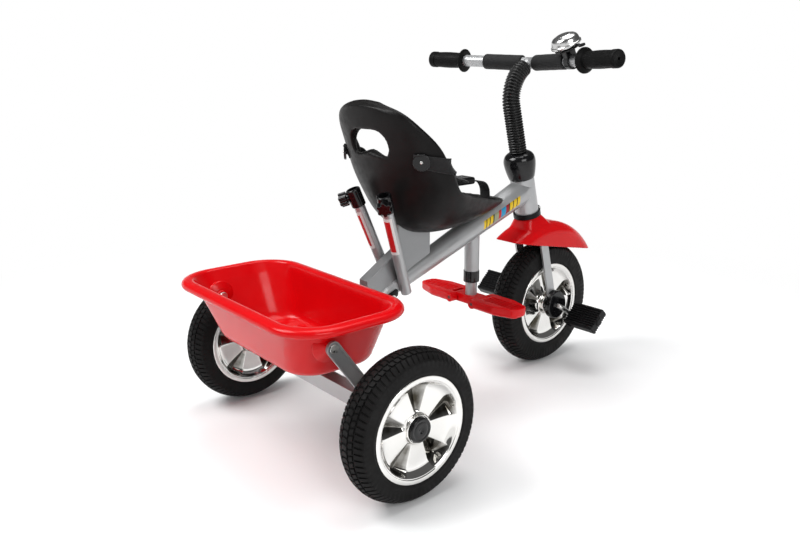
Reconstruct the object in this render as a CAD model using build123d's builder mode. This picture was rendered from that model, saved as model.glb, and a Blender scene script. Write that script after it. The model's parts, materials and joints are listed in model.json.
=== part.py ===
from build123d import *
import os
from math import asin, copysign, cos, degrees, radians, sin

# A children's tricycle with a tipping rear bucket, in millimetres.
# X runs forward, Y to the rider's left and Z up. The origin lies on the ground,
# under the middle of the bounding box.

# Layout
WHEELBASE = 558
TRACK = 473
RAKE = 14.5
BUCKET_OVERHANG = 159

# Fits
RUNNING = 0.05
GAP = 0.4

# Wheels
REAR_RADIUS = 115
FRONT_RADIUS = 128
TYRE_WIDTH = 53
SHOULDER_DROP = 13
REAR_LIP_RADIUS = 80.5
FRONT_LIP_RADIUS = 84
LIP_WIDTH = 8.5
LIP_THICKNESS = 2.5
BARREL_WALL = 3
WEB_WIDTH = 32
HUB_RADIUS = 21
REAR_HUB_LENGTH = 38
FRONT_HUB_LENGTH = 50
SPOKES = 5
POCKET_INNER_WIDTH = 9
POCKET_OUTER_WIDTH = 40
POCKET_INNER_DEPTH = 3
POCKET_OUTER_DEPTH = 12
BUSH_RADIUS = 9
CAP_RADIUS = 18.5
CAP_WALL = 2

# Rear axle
BEAM_SIZE = 26
BEAM_WALL = 2
AXLE_RADIUS = 5
SPACER_RADIUS = 18
SPACER_LENGTH = 20
PLUG_LENGTH = 18
NUT_RADIUS = 9
NUT_HEIGHT = 5

# Head and main tube, with places along the steering axis from the front axle
HEAD_BOTTOM = 194
HEAD_LENGTH = 79
HEAD_RADIUS = 23.5
TUBE_WALL = 2
MAIN_JOINT = 249
MAIN_FRONT_RADIUS = 25
MAIN_REAR_RADIUS = 16
BEND_AHEAD = 146
BEND_HEIGHT = 231
RING_HEIGHT = 9
RING_WALL = 3.5
LUG_SIZE = 10
LUG_BOLT_RADIUS = 2.5
LUG_HEAD_RADIUS = 4
LUG_HEAD_HEIGHT = 3
BEARING_LENGTH = 12

# Fork and fender
STEERER_RADIUS = 13
BLADE_INSIDE = 31.5
BLADE_THICKNESS = 5
BLADE_WIDTH = 20
CROWN_HEIGHT = 146
CROWN_THICKNESS = 6
CROWN_WIDTH = 40
COVER_RADIUS = 27
COVER_RISE = 10
COVER_DEPTH = 12
COVER_ROUNDING = 3
FENDER_RADIUS = 167
FENDER_BACK = 16
FENDER_RISE = 7
FENDER_WIDTH = 82
FENDER_WALL = 3
FENDER_REAR_ANGLE = 125
FENDER_FRONT_ANGLE = 33
FENDER_DEPTH = 70
FENDER_ROUNDING = 26
PEDESTAL_TOP_LENGTH = 46
PEDESTAL_TOP_WIDTH = 44
PEDESTAL_FOOT_LENGTH = 86
PEDESTAL_FOOT_WIDTH = 74
PEDESTAL_TOP_CORNER = 18
PEDESTAL_FOOT_CORNER = 6

# Stem, bellows and headset cap
STEM_RADIUS = 11
STEM_WALL = 1.5
STEM_INSERT = 50
CAP_LENGTH = 52
CAP_FOOT_RADIUS = 25
CAP_BELLY_RADIUS = 31
CAP_TOP_RADIUS = 18
CAP_SHELL = 3
CAP_BELLY_SHARE = 0.6
STEM_BEND_RADIUS = 65
STEM_TURN = 84
STEM_RISE = 89
STEM_REACH = 5
RIB_RADIUS = 17
RIB_VALLEY_RADIUS = 14
RIBS = 25
BELLOWS_BORE = 11.3
BELLOWS_GAP = 16
RIB_SLOPE_SHARE = 0.2
RIB_TOP_SHARE = 0.4

# Handlebar, measured along each arm from the middle
BAR_RADIUS = 11
BAR_WALL = 1.5
BAR_HALF_SPAN = 224
BAR_SWEEP = 39
BAR_RISE = 8
BAR_BEND_RADIUS = 30
GRIP_START = 147
GRIP_RADIUS = 15.5
GRIP_END = 3.5
FLANGE_RADIUS = 22.5
FLANGE_WIDTH = 5
END_HOLE_RADIUS = 3
FOAM_RADIUS = 14.5
FOAM_LENGTH = 84
FOAM_LEFT_START = 14
FOAM_RIGHT_START = 20
FOAM_ROUNDING = 2
BELL_PLACE = 116
BELL_TILT = 25
BELL_CLAMP_WIDTH = 12
BELL_CLAMP_WALL = 3.5
BELL_BASE_HEIGHT = 23
BELL_BASE_RADIUS = 22
BELL_BASE_THICKNESS = 3
BELL_POST_RADIUS = 4
BELL_SLOT = 3.6
DOME_RADIUS = 27
DOME_HEIGHT = 20
DOME_WALL = 2
DOME_SHOULDER_OUT = 0.8
DOME_SHOULDER_UP = 0.72
LEVER_PIVOT = 13
LEVER_PIN_RADIUS = 2.5
LEVER_WALL = 2.5
LEVER_THICKNESS = 2.8
LEVER_REACH = 38
LEVER_WIDTH = 6

# Crank and pedals
CRANK_RADIUS = 5
CRANK_THROW = 36
CRANK_ANGLE = -34.5
CRANK_BEND_RADIUS = 6
CRANK_OUTSIDE = 55
SPINDLE_END = 130
PEDAL_INSIDE = 61
PEDAL_LENGTH = 68
PEDAL_WIDTH = 50
PEDAL_THICKNESS = 22
PEDAL_TILT = 45
PEDAL_RIDGES = 8
PEDAL_RIDGE_DEPTH = 2.5
PEDAL_ROUNDING = 5

# Footrests
POST_AHEAD = 356
SOCKET_RADIUS = 14
SOCKET_BOTTOM = 230
POST_RADIUS = 11
POST_WALL = 2
POST_TOP = 278
COLLAR_HEIGHT = 22
COLLAR_WALL = 4
FOOTREST_HEIGHT = 175
FOOTREST_LENGTH = 97
FOOTREST_WIDTH = 60
FOOTREST_TIP_WIDTH = 34
FOOTREST_THICKNESS = 18
FOOTREST_CORNER = 14
FOOTREST_ROUNDING = 7
FOOTREST_RIM = 5
FOOTREST_RECESS = 4
FOOTREST_GROOVES = 4
FOOTREST_STRAIGHT_SHARE = 0.55
GROOVE_SHARE = 0.6
HINGE_OFFSET = 30
HINGE_LOBE = 9
HINGE_BRACKET_WIDTH = 28
PIN_RADIUS = 3

# Push handle sockets
SOCKET_FOOT = (178, 19, 226)
SOCKET_MOUTH = (118, 40, 390)
HANDLE_RADIUS = 9.5
HANDLE_BORE = 8.25
HANDLE_BORE_DEPTH = 110
CLAMP_RADIUS = 12.5
CLAMP_HEIGHT = 32
CLAMP_OVERLAP = 14
CLAMP_ROUNDING = 2.4
KNOB_RISE = 5
KNOB_TURN = 45
CLAMP_BOSS_RADIUS = 7
CLAMP_BOSS_REACH = 14
KNOB_RADIUS = 9.5
KNOB_LOBE_RADIUS = 3.2
KNOB_LOBES = 6
KNOB_LENGTH = 13
SHANK_RADIUS = 3

# Seat: from the top of the back to the nose, each station gives the middle of the
# shell and the rim as (ahead of the rear axle, up), and the half width
SEAT_STATIONS = [
    ((96, 549), (112, 549), 36),
    ((98, 538), (118, 536), 74),
    ((103, 517), (134, 516), 97),
    ((112, 482), (165, 482), 113),
    ((122, 445), (187, 445), 118),
    ((134, 405), (213, 410), 115),
    ((151, 364), (238, 400), 107),
    ((190, 332), (258, 394), 98),
    ((240, 323), (284, 388), 88),
    ((300, 328), (322, 379), 75),
    ((355, 341), (366, 371), 58),
    ((395, 350), (400, 365), 36),
    ((410, 355), (412, 363), 12),
]
SEAT_WALL = 6
SEAT_TRIM = 4
HAND_HOLE_HEIGHT = 487
HAND_HOLE_OUTLINE = [
    (47, -3),
    (38, 16),
    (0, 22),
    (-38, 16),
    (-47, -3),
    (-40, -18),
    (-22, -16),
    (0, -10),
    (22, -16),
    (40, -18),
]
HAND_HOLE_COLLAR = 6
HAND_HOLE_DEPTH = 16
PAD_STATIONS = (7, 8, 9, 10)
PAD_HEIGHT = 15
PAD_CROWN = 5
PAD_BED = 3
BRACKET_WIDTH = 22
BRACKET_REAR = 100
BRACKET_REAR_TOP = 258
BRACKET_NECK = (168, 300)
BRACKET_FRONT = 240
SEAT_BOLT_RADIUS = 3
SEAT_BOLT_TOPS = ((202, 331.5), (236, 326.5))
SEAT_BOLT_LENGTH = 40
SADDLE_WALL = 5
SADDLE_LENGTH = 18
SADDLE_BACK = 6
SADDLE_BOLT_DROP = 9
SADDLE_BOLT_RADIUS = 3
SADDLE_HEAD_RADIUS = 6
SADDLE_HEAD_HEIGHT = 3

# Belts
WEBBING_WIDTH = 25
WEBBING_THICKNESS = 2
BELT_PLUG = (145, 98, 462)
PLUG_FACING = 39
PLUG_RADIUS = 14
PLUG_PIN_RADIUS = 5
PLUG_HEIGHT = 7
PLUG_STANDOFF = 2.8
PLUG_ROUNDING = 1.5
# Each place along the left lap belt, and how far its width has turned from the rim
# towards lying flat at the buckle
LAP_BELT = [
    ((135.5, 88.8, 463), 0),
    ((143.6, 98.9, 462), 0),
    ((162.4, 114.5, 458), 0),
    ((181, 119.4, 455), 0),
    ((185, 113, 453), 0.05),
    ((205, 100, 441), 0.2),
    ((255, 62, 424), 0.6),
    ((290, 35, 411), 1),
    ((314, 14, 404), 1),
]
RIM_SLOPE = 59
BUCKLE_TURN = 53
CROTCH_STRAP = [(338, 403), (372, 398), (385, 386), (388, 370), (388, 354)]
BUCKLE_PLACE = (322, 404)
BUCKLE_LENGTH = 46
BUCKLE_WIDTH = 36
BUCKLE_THICKNESS = 13
BUCKLE_ROUNDING = 4

# Bucket
BUCKET_FRONT = 60
BUCKET_HALF_WIDTH = 201
BUCKET_TOP = 272
BUCKET_BASE = 174
BUCKET_BASE_REAR = -111
BUCKET_BASE_FRONT = 34
BUCKET_BASE_HALF_WIDTH = 133
BUCKET_WALL = 3
BUCKET_LIP = 18
BUCKET_LIP_HEIGHT = 13
BUCKET_LIP_ROUNDING = 5.5
BUCKET_CORNER = 72
BUCKET_BASE_CORNER = 48
PIVOT_AHEAD = -85
PIVOT_HEIGHT = 233
PIVOT_RADIUS = 4
PIVOT_BOSS_RADIUS = 9.5
PIVOT_BOSS_LENGTH = 22
PIVOT_PAD_RADIUS = 24
PIVOT_PAD_DEPTH = 18
STRAP_INSIDE = 172
STRAP_WIDTH = 22
STRAP_THICKNESS = 3
STRAP_EDGE = 3
STRAP_EDGE_RISE = 2.5
BOLT_HEAD_RADIUS = 7
BOLT_HEAD_HEIGHT = 3.5
REST_AHEAD = 22
REST_LENGTH = 20
REST_WIDTH = 40
NUT_THICKNESS = 5

os.makedirs("parts", exist_ok=True)

BASE = (Align.CENTER, Align.CENTER, Align.MIN)
REAR_X = (BUCKET_OVERHANG - FRONT_RADIUS - WHEELBASE) / 2
FRONT_X = REAR_X + WHEELBASE
HALF_TURN = 180
SIDES = {"left": 1, "right": -1}
AXLE = Vector(REAR_X, 0, REAR_RADIUS)
FRONT_AXLE = Vector(FRONT_X, 0, FRONT_RADIUS)
STEER_AXIS = Vector(-sin(radians(RAKE)), 0, cos(radians(RAKE)))
STEER = Plane(FRONT_AXLE, x_dir=(cos(radians(RAKE)), 0, sin(radians(RAKE))), z_dir=STEER_AXIS)


def ahead(x, y, z):
    """A point given by its distance ahead of the rear axle."""
    return Vector(REAR_X + x, y, z)


def on_axis(along):
    """A point on the steering axis."""
    return FRONT_AXLE + STEER_AXIS * along


def side_plane(point):
    """Plane square to Y, with local x forward and local y up."""
    return Plane(point, x_dir=(1, 0, 0), z_dir=(0, -1, 0))


def axial_plane(point):
    """Plane through a wheel's axis, with local x along Y and local y up."""
    return Plane(point, x_dir=(0, 1, 0), z_dir=(1, 0, 0))


def facing(start, end):
    """Plane at start whose normal points at end, with local x level where it can be."""
    return Plane(start, x_dir=(0, 1, 0), z_dir=(end - start).normalized())


def save(piece, name):
    """Label a finished piece and write it to its own file."""
    piece.part.label = name
    export_step(piece.part, f"parts/{name}.step")


# Frame tubes and the bolts in them
MAIN_FRONT = on_axis(MAIN_JOINT)
BEND = ahead(BEND_AHEAD, 0, BEND_HEIGHT)
BEAM_HALF = TRACK / 2 - REAR_HUB_LENGTH / 2 - GAP - SPACER_LENGTH
SADDLE_RADIUS = MAIN_REAR_RADIUS + SADDLE_WALL
SEAT_BOLTS = [ahead(x, 0, top - SEAT_BOLT_LENGTH) for x, top in SEAT_BOLT_TOPS]
LUG_BOLT_REACH = HEAD_RADIUS + RING_WALL + LUG_SIZE / 4

with BuildPart() as frame_bolts:
    with Locations(STEER.offset(HEAD_BOTTOM + RING_HEIGHT / 2)):
        with Locations((LUG_BOLT_REACH, 0, 0)):
            Cylinder(LUG_BOLT_RADIUS, LUG_SIZE, rotation=(90, 0, 0))
        for end in (-1, 1):
            with Locations((LUG_BOLT_REACH, end * (LUG_SIZE + LUG_HEAD_HEIGHT) / 2, 0)):
                Cylinder(LUG_HEAD_RADIUS, LUG_HEAD_HEIGHT, rotation=(90, 0, 0))
    saddle_bolt_middle = BEND - Vector(0, 0, SADDLE_BOLT_DROP)
    with Locations(saddle_bolt_middle):
        Cylinder(SADDLE_BOLT_RADIUS, 2 * SADDLE_RADIUS, rotation=(90, 0, 0))
    for end in (-1, 1):
        with Locations(saddle_bolt_middle + Vector(0, end * (SADDLE_RADIUS + SADDLE_HEAD_HEIGHT / 2), 0)):
            Cylinder(SADDLE_HEAD_RADIUS, SADDLE_HEAD_HEIGHT, rotation=(90, 0, 0))
    with Locations(*SEAT_BOLTS):
        Cylinder(SEAT_BOLT_RADIUS, SEAT_BOLT_LENGTH, align=BASE)
save(frame_bolts, "frame_bolts")

with BuildPart() as head_tube:
    with BuildSketch(STEER.offset(HEAD_BOTTOM)):
        Circle(HEAD_RADIUS)
        Circle(HEAD_RADIUS - TUBE_WALL, mode=Mode.SUBTRACT)
    extrude(amount=HEAD_LENGTH)
save(head_tube, "head_tube")

with BuildPart() as rear_beam:
    with BuildSketch(side_plane(AXLE)):
        Rectangle(BEAM_SIZE, BEAM_SIZE)
        Rectangle(BEAM_SIZE - 2 * BEAM_WALL, BEAM_SIZE - 2 * BEAM_WALL, mode=Mode.SUBTRACT)
    extrude(amount=BEAM_HALF, both=True)
save(rear_beam, "rear_beam")

with BuildPart() as main_tube:
    for inset, mode in ((0, Mode.ADD), (TUBE_WALL, Mode.SUBTRACT)):
        with BuildSketch(facing(MAIN_FRONT, BEND)):
            Circle(MAIN_FRONT_RADIUS - inset)
        with BuildSketch(facing(BEND, BEND + BEND - MAIN_FRONT)):
            Circle(MAIN_REAR_RADIUS - inset)
        loft(mode=mode)
        with Locations(BEND):
            Sphere(MAIN_REAR_RADIUS - inset, mode=mode)
        with Locations(facing(BEND, AXLE)):
            Cylinder(MAIN_REAR_RADIUS - inset, (AXLE - BEND).length, align=BASE, mode=mode)
    with Locations(AXLE):
        Box(BEAM_SIZE, 2 * BEAM_HALF, BEAM_SIZE, mode=Mode.SUBTRACT)
    with Locations(STEER.offset(HEAD_BOTTOM)):
        Cylinder(HEAD_RADIUS, HEAD_LENGTH, align=BASE, mode=Mode.SUBTRACT)
    for piece in main_tube.solids().sort_by(SortBy.VOLUME)[:-1]:
        add(piece, mode=Mode.SUBTRACT)
    add(frame_bolts.part, mode=Mode.SUBTRACT)
save(main_tube, "main_tube")

# The main tube's outside, filled, to shape what is fixed on it
with BuildPart() as tube_form:
    with BuildSketch(facing(MAIN_FRONT, BEND)):
        Circle(MAIN_FRONT_RADIUS)
    with BuildSketch(facing(BEND, BEND + BEND - MAIN_FRONT)):
        Circle(MAIN_REAR_RADIUS)
    loft()
    with Locations(BEND):
        Sphere(MAIN_REAR_RADIUS)
    with Locations(facing(BEND, AXLE)):
        Cylinder(MAIN_REAR_RADIUS, (AXLE - BEND).length, align=BASE)

with BuildPart() as head_bearings:
    for start in (HEAD_BOTTOM, HEAD_BOTTOM + HEAD_LENGTH - BEARING_LENGTH):
        with BuildSketch(STEER.offset(start)):
            Circle(HEAD_RADIUS - TUBE_WALL)
            Circle(STEERER_RADIUS + RUNNING, mode=Mode.SUBTRACT)
        extrude(amount=BEARING_LENGTH)
save(head_bearings, "head_bearings")

with BuildPart() as head_ring:
    with BuildSketch(STEER.offset(HEAD_BOTTOM)):
        Circle(HEAD_RADIUS + RING_WALL)
        with Locations((HEAD_RADIUS + LUG_SIZE / 2, 0)):
            Rectangle(LUG_SIZE, LUG_SIZE)
        Circle(HEAD_RADIUS, mode=Mode.SUBTRACT)
    extrude(amount=RING_HEIGHT)
    add(frame_bolts.part, mode=Mode.SUBTRACT)
save(head_ring, "head_ring")

# Rear axle
HUB_OUTSIDE = TRACK / 2 + REAR_HUB_LENGTH / 2
AXLE_HALF = HUB_OUTSIDE + GAP + NUT_HEIGHT

with BuildPart() as rear_axle:
    with BuildSketch(side_plane(AXLE)):
        Circle(AXLE_RADIUS)
    extrude(amount=AXLE_HALF, both=True)
save(rear_axle, "rear_axle")

with BuildPart() as axle_spacers:
    with BuildSketch(side_plane(AXLE + Vector(0, -BEAM_HALF, 0))):
        Circle(SPACER_RADIUS)
    extrude(amount=SPACER_LENGTH)
    with BuildSketch(side_plane(AXLE + Vector(0, -BEAM_HALF, 0))):
        Rectangle(BEAM_SIZE - 2 * BEAM_WALL, BEAM_SIZE - 2 * BEAM_WALL)
    extrude(amount=-PLUG_LENGTH)
    mirror(about=Plane.XZ)
    add(rear_axle.part, mode=Mode.SUBTRACT)
save(axle_spacers, "axle_spacers")

with BuildPart() as axle_nuts:
    with BuildSketch(side_plane(AXLE + Vector(0, -HUB_OUTSIDE - GAP, 0))):
        RegularPolygon(NUT_RADIUS, 6)
    extrude(amount=NUT_HEIGHT)
    mirror(about=Plane.XZ)
    add(rear_axle.part, mode=Mode.SUBTRACT)
save(axle_nuts, "axle_nuts")


# Wheels
def make_wheel(name, centre, radius, lip_radius, hub_length, bush_bore):
    """Tyre, rim and bush of one wheel, turning about Y."""
    half = TYRE_WIDTH / 2
    dish = lip_radius - LIP_WIDTH
    barrel = dish + BARREL_WALL
    axis = Axis(centre, (0, 1, 0))

    with BuildPart() as tyre:
        with BuildSketch(axial_plane(centre)):
            with BuildLine():
                Polyline(
                    (-half, radius - SHOULDER_DROP),
                    (-half, lip_radius),
                    (-half + LIP_THICKNESS, lip_radius),
                    (-half + LIP_THICKNESS, barrel),
                    (half - LIP_THICKNESS, barrel),
                    (half - LIP_THICKNESS, lip_radius),
                    (half, lip_radius),
                    (half, radius - SHOULDER_DROP),
                )
                ThreePointArc((half, radius - SHOULDER_DROP), (0, radius), (-half, radius - SHOULDER_DROP))
            make_face()
        revolve(axis=axis)
    save(tyre, f"{name}_tyre")

    with BuildPart() as rim:
        with BuildSketch(axial_plane(centre)):
            with BuildLine():
                Polyline(
                    (0, BUSH_RADIUS),
                    (hub_length / 2, BUSH_RADIUS),
                    (hub_length / 2, HUB_RADIUS),
                    (WEB_WIDTH / 2, HUB_RADIUS),
                    (WEB_WIDTH / 2, dish - BARREL_WALL),
                    (half - LIP_THICKNESS, dish),
                    (half, dish),
                    (half, lip_radius),
                    (half - LIP_THICKNESS, lip_radius),
                    (half - LIP_THICKNESS, barrel),
                    (0, barrel),
                    close=True,
                )
            make_face()
            mirror(about=Plane.YZ)
        revolve(axis=axis)
        for spoke in range(SPOKES):
            angle = radians(90 + spoke * 360 / SPOKES)
            out = Vector(cos(angle), 0, sin(angle))
            for side in (-1, 1):
                face = side * WEB_WIDTH / 2
                for place, width, depth in (
                    (HUB_RADIUS + BARREL_WALL, POCKET_INNER_WIDTH, POCKET_INNER_DEPTH),
                    (dish - 2 * BARREL_WALL, POCKET_OUTER_WIDTH, POCKET_OUTER_DEPTH),
                ):
                    plane = Plane(centre + out * place, x_dir=Vector(0, 1, 0).cross(out), z_dir=out)
                    with BuildSketch(plane):
                        Polygon(
                            (-width / 2, face + side),
                            (-width / 2, face),
                            (0, face - side * depth),
                            (width / 2, face),
                            (width / 2, face + side),
                            align=None,
                        )
                loft(ruled=True, mode=Mode.SUBTRACT)
    save(rim, f"{name}_rim")

    with BuildPart() as bush:
        with BuildSketch(side_plane(centre)):
            Circle(BUSH_RADIUS)
            Circle(bush_bore, mode=Mode.SUBTRACT)
        extrude(amount=hub_length / 2, both=True)
    save(bush, f"{name}_bush")


for side_name, side in SIDES.items():
    wheel_centre = AXLE + Vector(0, side * TRACK / 2, 0)
    make_wheel(
        f"rear_{side_name}",
        wheel_centre,
        REAR_RADIUS,
        REAR_LIP_RADIUS,
        REAR_HUB_LENGTH,
        AXLE_RADIUS + RUNNING,
    )
    cap_length = (TYRE_WIDTH - REAR_HUB_LENGTH) / 2
    with BuildPart() as hub_cap:
        with BuildSketch(side_plane(AXLE + Vector(0, side * HUB_OUTSIDE, 0))):
            Circle(CAP_RADIUS)
        extrude(amount=-side * cap_length)
        fillet(hub_cap.faces().sort_by(Axis.Y)[-1 if side > 0 else 0].edges(), CAP_WALL)
        with BuildSketch(side_plane(AXLE + Vector(0, side * HUB_OUTSIDE, 0))):
            Circle(CAP_RADIUS - 2 * CAP_WALL)
        extrude(amount=-side * (NUT_HEIGHT + 2 * GAP), mode=Mode.SUBTRACT)
    save(hub_cap, f"rear_{side_name}_cap")

make_wheel("front", FRONT_AXLE, FRONT_RADIUS, FRONT_LIP_RADIUS, FRONT_HUB_LENGTH, CRANK_RADIUS)

# Crank and pedals
throw = Vector(cos(radians(CRANK_ANGLE)), 0, sin(radians(CRANK_ANGLE))) * CRANK_THROW
RIGHT_PIN = FRONT_AXLE + throw
LEFT_PIN = FRONT_AXLE - throw

with BuildPart() as crank:
    with BuildLine():
        FilletPolyline(
            RIGHT_PIN - Vector(0, SPINDLE_END, 0),
            RIGHT_PIN - Vector(0, CRANK_OUTSIDE, 0),
            FRONT_AXLE - Vector(0, CRANK_OUTSIDE, 0),
            FRONT_AXLE + Vector(0, CRANK_OUTSIDE, 0),
            LEFT_PIN + Vector(0, CRANK_OUTSIDE, 0),
            LEFT_PIN + Vector(0, SPINDLE_END, 0),
            radius=CRANK_BEND_RADIUS,
        )
    with BuildSketch(side_plane(RIGHT_PIN - Vector(0, SPINDLE_END, 0))):
        Circle(CRANK_RADIUS)
    sweep()
save(crank, "crank")

for side_name, side, pin in (("left", 1, LEFT_PIN), ("right", -1, RIGHT_PIN)):
    pedal_way = Vector(cos(radians(PEDAL_TILT)), 0, sin(radians(PEDAL_TILT)))
    pedal_plane = Plane(pin + Vector(0, side * PEDAL_INSIDE, 0), x_dir=pedal_way, z_dir=(0, -1, 0))
    with BuildPart() as pedal:
        with BuildSketch(pedal_plane):
            RectangleRounded(PEDAL_WIDTH, PEDAL_THICKNESS, PEDAL_ROUNDING)
            groove_pitch = (PEDAL_WIDTH - 2 * PEDAL_ROUNDING) / PEDAL_RIDGES
            for face in (-1, 1):
                with Locations((0, face * PEDAL_THICKNESS / 2)):
                    with GridLocations(groove_pitch, 1, PEDAL_RIDGES, 1):
                        Rectangle(groove_pitch / 2, 2 * PEDAL_RIDGE_DEPTH, mode=Mode.SUBTRACT)
            Circle(CRANK_RADIUS + RUNNING, mode=Mode.SUBTRACT)
        extrude(amount=-side * PEDAL_LENGTH)
    save(pedal, f"pedal_{side_name}")

# Fork
BLADE_OUTSIDE = BLADE_INSIDE + BLADE_THICKNESS
CROWN_TOP = CROWN_HEIGHT + CROWN_THICKNESS

with BuildPart() as fork:
    for side in (-1, 1):
        middle = side * (BLADE_INSIDE + BLADE_THICKNESS / 2)
        with Locations(STEER):
            with Locations((0, middle, 0)):
                Box(BLADE_WIDTH, BLADE_THICKNESS, CROWN_HEIGHT, align=BASE)
                Cylinder(BLADE_WIDTH / 2, BLADE_THICKNESS, rotation=(90, 0, 0))
    with Locations(STEER.offset(CROWN_HEIGHT)):
        Box(CROWN_WIDTH, 2 * BLADE_OUTSIDE, CROWN_THICKNESS, align=BASE)
    with Locations(FRONT_AXLE):
        Cylinder(CRANK_RADIUS + RUNNING, 3 * BLADE_OUTSIDE, rotation=(90, 0, 0), mode=Mode.SUBTRACT)
save(fork, "fork")

STEERER_LENGTH = HEAD_BOTTOM + HEAD_LENGTH - CROWN_TOP
with BuildPart() as steerer:
    with BuildSketch(STEER.offset(CROWN_TOP)):
        Circle(STEERER_RADIUS)
        Circle(STEM_RADIUS, mode=Mode.SUBTRACT)
    extrude(amount=STEERER_LENGTH)
save(steerer, "steerer")

with BuildPart() as hub_covers:
    with BuildSketch(Plane(FRONT_AXLE, x_dir=STEER.x_dir, z_dir=(0, -1, 0)).offset(BLADE_OUTSIDE)):
        Circle(COVER_RADIUS)
        with Locations((0, COVER_RISE)):
            Circle(COVER_RADIUS - COVER_RISE / 2)
        Circle(CRANK_RADIUS + RUNNING, mode=Mode.SUBTRACT)
    extrude(amount=COVER_DEPTH)
    fillet(hub_covers.faces().sort_by(Axis.Y)[0].outer_wire().edges(), COVER_ROUNDING)
    mirror(about=Plane.XZ)
save(hub_covers, "hub_covers")

# Fender
HOOD_CENTRE = FRONT_AXLE + Vector(-FENDER_BACK, 0, FENDER_RISE)


def hood_point(angle):
    """A point on the hood's crown line, by its angle above the forward direction."""
    return HOOD_CENTRE + Vector(cos(radians(angle)), 0, sin(radians(angle))) * FENDER_RADIUS


hood_rear = hood_point(FENDER_REAR_ANGLE)
hood_front = hood_point(FENDER_FRONT_ANGLE)
hood_chord = (hood_front - hood_rear).normalized()

with BuildPart() as fender:
    with BuildSketch(axial_plane(HOOD_CENTRE)) as hood_section:
        with Locations((0, FENDER_RADIUS)):
            Rectangle(FENDER_WIDTH, FENDER_DEPTH, align=(Align.CENTER, Align.MAX))
        fillet(hood_section.vertices().group_by(Axis.Y)[-1], FENDER_ROUNDING)
        offset(amount=-FENDER_WALL, mode=Mode.SUBTRACT)
    revolve(axis=Axis(HOOD_CENTRE, (0, 1, 0)))
    split(bisect_by=Plane(hood_rear, x_dir=hood_chord, z_dir=hood_chord.cross(Vector(0, 1, 0))))
    with BuildSketch(STEER.offset(CROWN_TOP)):
        RectangleRounded(PEDESTAL_FOOT_LENGTH, PEDESTAL_FOOT_WIDTH, PEDESTAL_FOOT_CORNER)
    with BuildSketch(STEER.offset(HEAD_BOTTOM - GAP)):
        RectangleRounded(PEDESTAL_TOP_LENGTH, PEDESTAL_TOP_WIDTH, PEDESTAL_TOP_CORNER)
    loft()
    with Locations(STEER.offset(CROWN_TOP)):
        Cylinder(STEERER_RADIUS, HEAD_BOTTOM, align=BASE, mode=Mode.SUBTRACT)
save(fender, "fender")

# Headset cap
CAP_BOTTOM = HEAD_BOTTOM + HEAD_LENGTH + GAP
CAP_TOP = CAP_BOTTOM + CAP_LENGTH
BELLY_HEIGHT = CAP_BOTTOM + CAP_BELLY_SHARE * CAP_LENGTH

with BuildPart() as headset_cap:
    with BuildSketch(Plane(FRONT_AXLE, x_dir=STEER.x_dir, z_dir=(0, -1, 0))):
        with BuildLine():
            Spline(
                (CAP_FOOT_RADIUS, CAP_BOTTOM),
                (CAP_BELLY_RADIUS, BELLY_HEIGHT),
                (CAP_TOP_RADIUS, CAP_TOP),
                tangents=((0.2, 1), (-1, 0.15)),
            )
            Polyline(
                (CAP_TOP_RADIUS, CAP_TOP),
                (STEM_RADIUS, CAP_TOP),
                (STEM_RADIUS, CAP_TOP - 3 * CAP_SHELL),
                (CAP_FOOT_RADIUS - CAP_SHELL, CAP_TOP - 4 * CAP_SHELL),
                (CAP_FOOT_RADIUS - CAP_SHELL, CAP_BOTTOM),
                (CAP_FOOT_RADIUS, CAP_BOTTOM),
            )
        make_face()
    revolve(axis=Axis(FRONT_AXLE, STEER_AXIS))
save(headset_cap, "headset_cap")

# Stem and bellows
STEM_TURN_LENGTH = STEM_BEND_RADIUS * radians(STEM_TURN)
STEM_LENGTH = STEM_RISE + STEM_TURN_LENGTH + STEM_REACH


def heading_at(distance):
    """Direction of the stem at a distance from the headset cap's top."""
    turned = min(max(distance - STEM_RISE, 0), STEM_TURN_LENGTH) / STEM_BEND_RADIUS
    angle = radians(90 + RAKE) - turned
    return Vector(cos(angle), 0, sin(angle))


def stem_point(distance):
    """Point on the stem's centreline at a distance from the headset cap's top."""
    heading = heading_at(distance)
    if distance <= STEM_RISE:
        return on_axis(CAP_TOP + distance)
    turn_start = on_axis(CAP_TOP + STEM_RISE)
    turn_centre = turn_start + Vector(STEER_AXIS.Z, 0, -STEER_AXIS.X) * STEM_BEND_RADIUS
    on_turn = turn_centre + Vector(-heading.Z, 0, heading.X) * STEM_BEND_RADIUS
    beyond = max(distance - STEM_RISE - STEM_TURN_LENGTH, 0)
    return on_turn + heading * beyond


def stem_plane(distance):
    """Plane square to the stem, with local x always along Y."""
    return Plane(stem_point(distance), x_dir=(0, 1, 0), z_dir=heading_at(distance))


BAR_MIDDLE = stem_point(STEM_LENGTH)
BAR_ENDS = {
    name: BAR_MIDDLE + Vector(-BAR_SWEEP, side * BAR_HALF_SPAN, BAR_RISE) for name, side in SIDES.items()
}
ARM_LENGTH = (BAR_ENDS["left"] - BAR_MIDDLE).length
stem_start = on_axis(HEAD_BOTTOM + HEAD_LENGTH - STEM_INSERT)

with BuildPart() as bar_form:
    with BuildLine():
        FilletPolyline(BAR_ENDS["left"], BAR_MIDDLE, BAR_ENDS["right"], radius=BAR_BEND_RADIUS)
    with BuildSketch(facing(BAR_ENDS["left"], BAR_MIDDLE)):
        Circle(BAR_RADIUS)
    sweep()

with BuildPart() as handlebar:
    with BuildLine():
        FilletPolyline(BAR_ENDS["left"], BAR_MIDDLE, BAR_ENDS["right"], radius=BAR_BEND_RADIUS)
    with BuildSketch(facing(BAR_ENDS["left"], BAR_MIDDLE)):
        Circle(BAR_RADIUS)
        Circle(BAR_RADIUS - BAR_WALL, mode=Mode.SUBTRACT)
    sweep()
save(handlebar, "handlebar")

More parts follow.
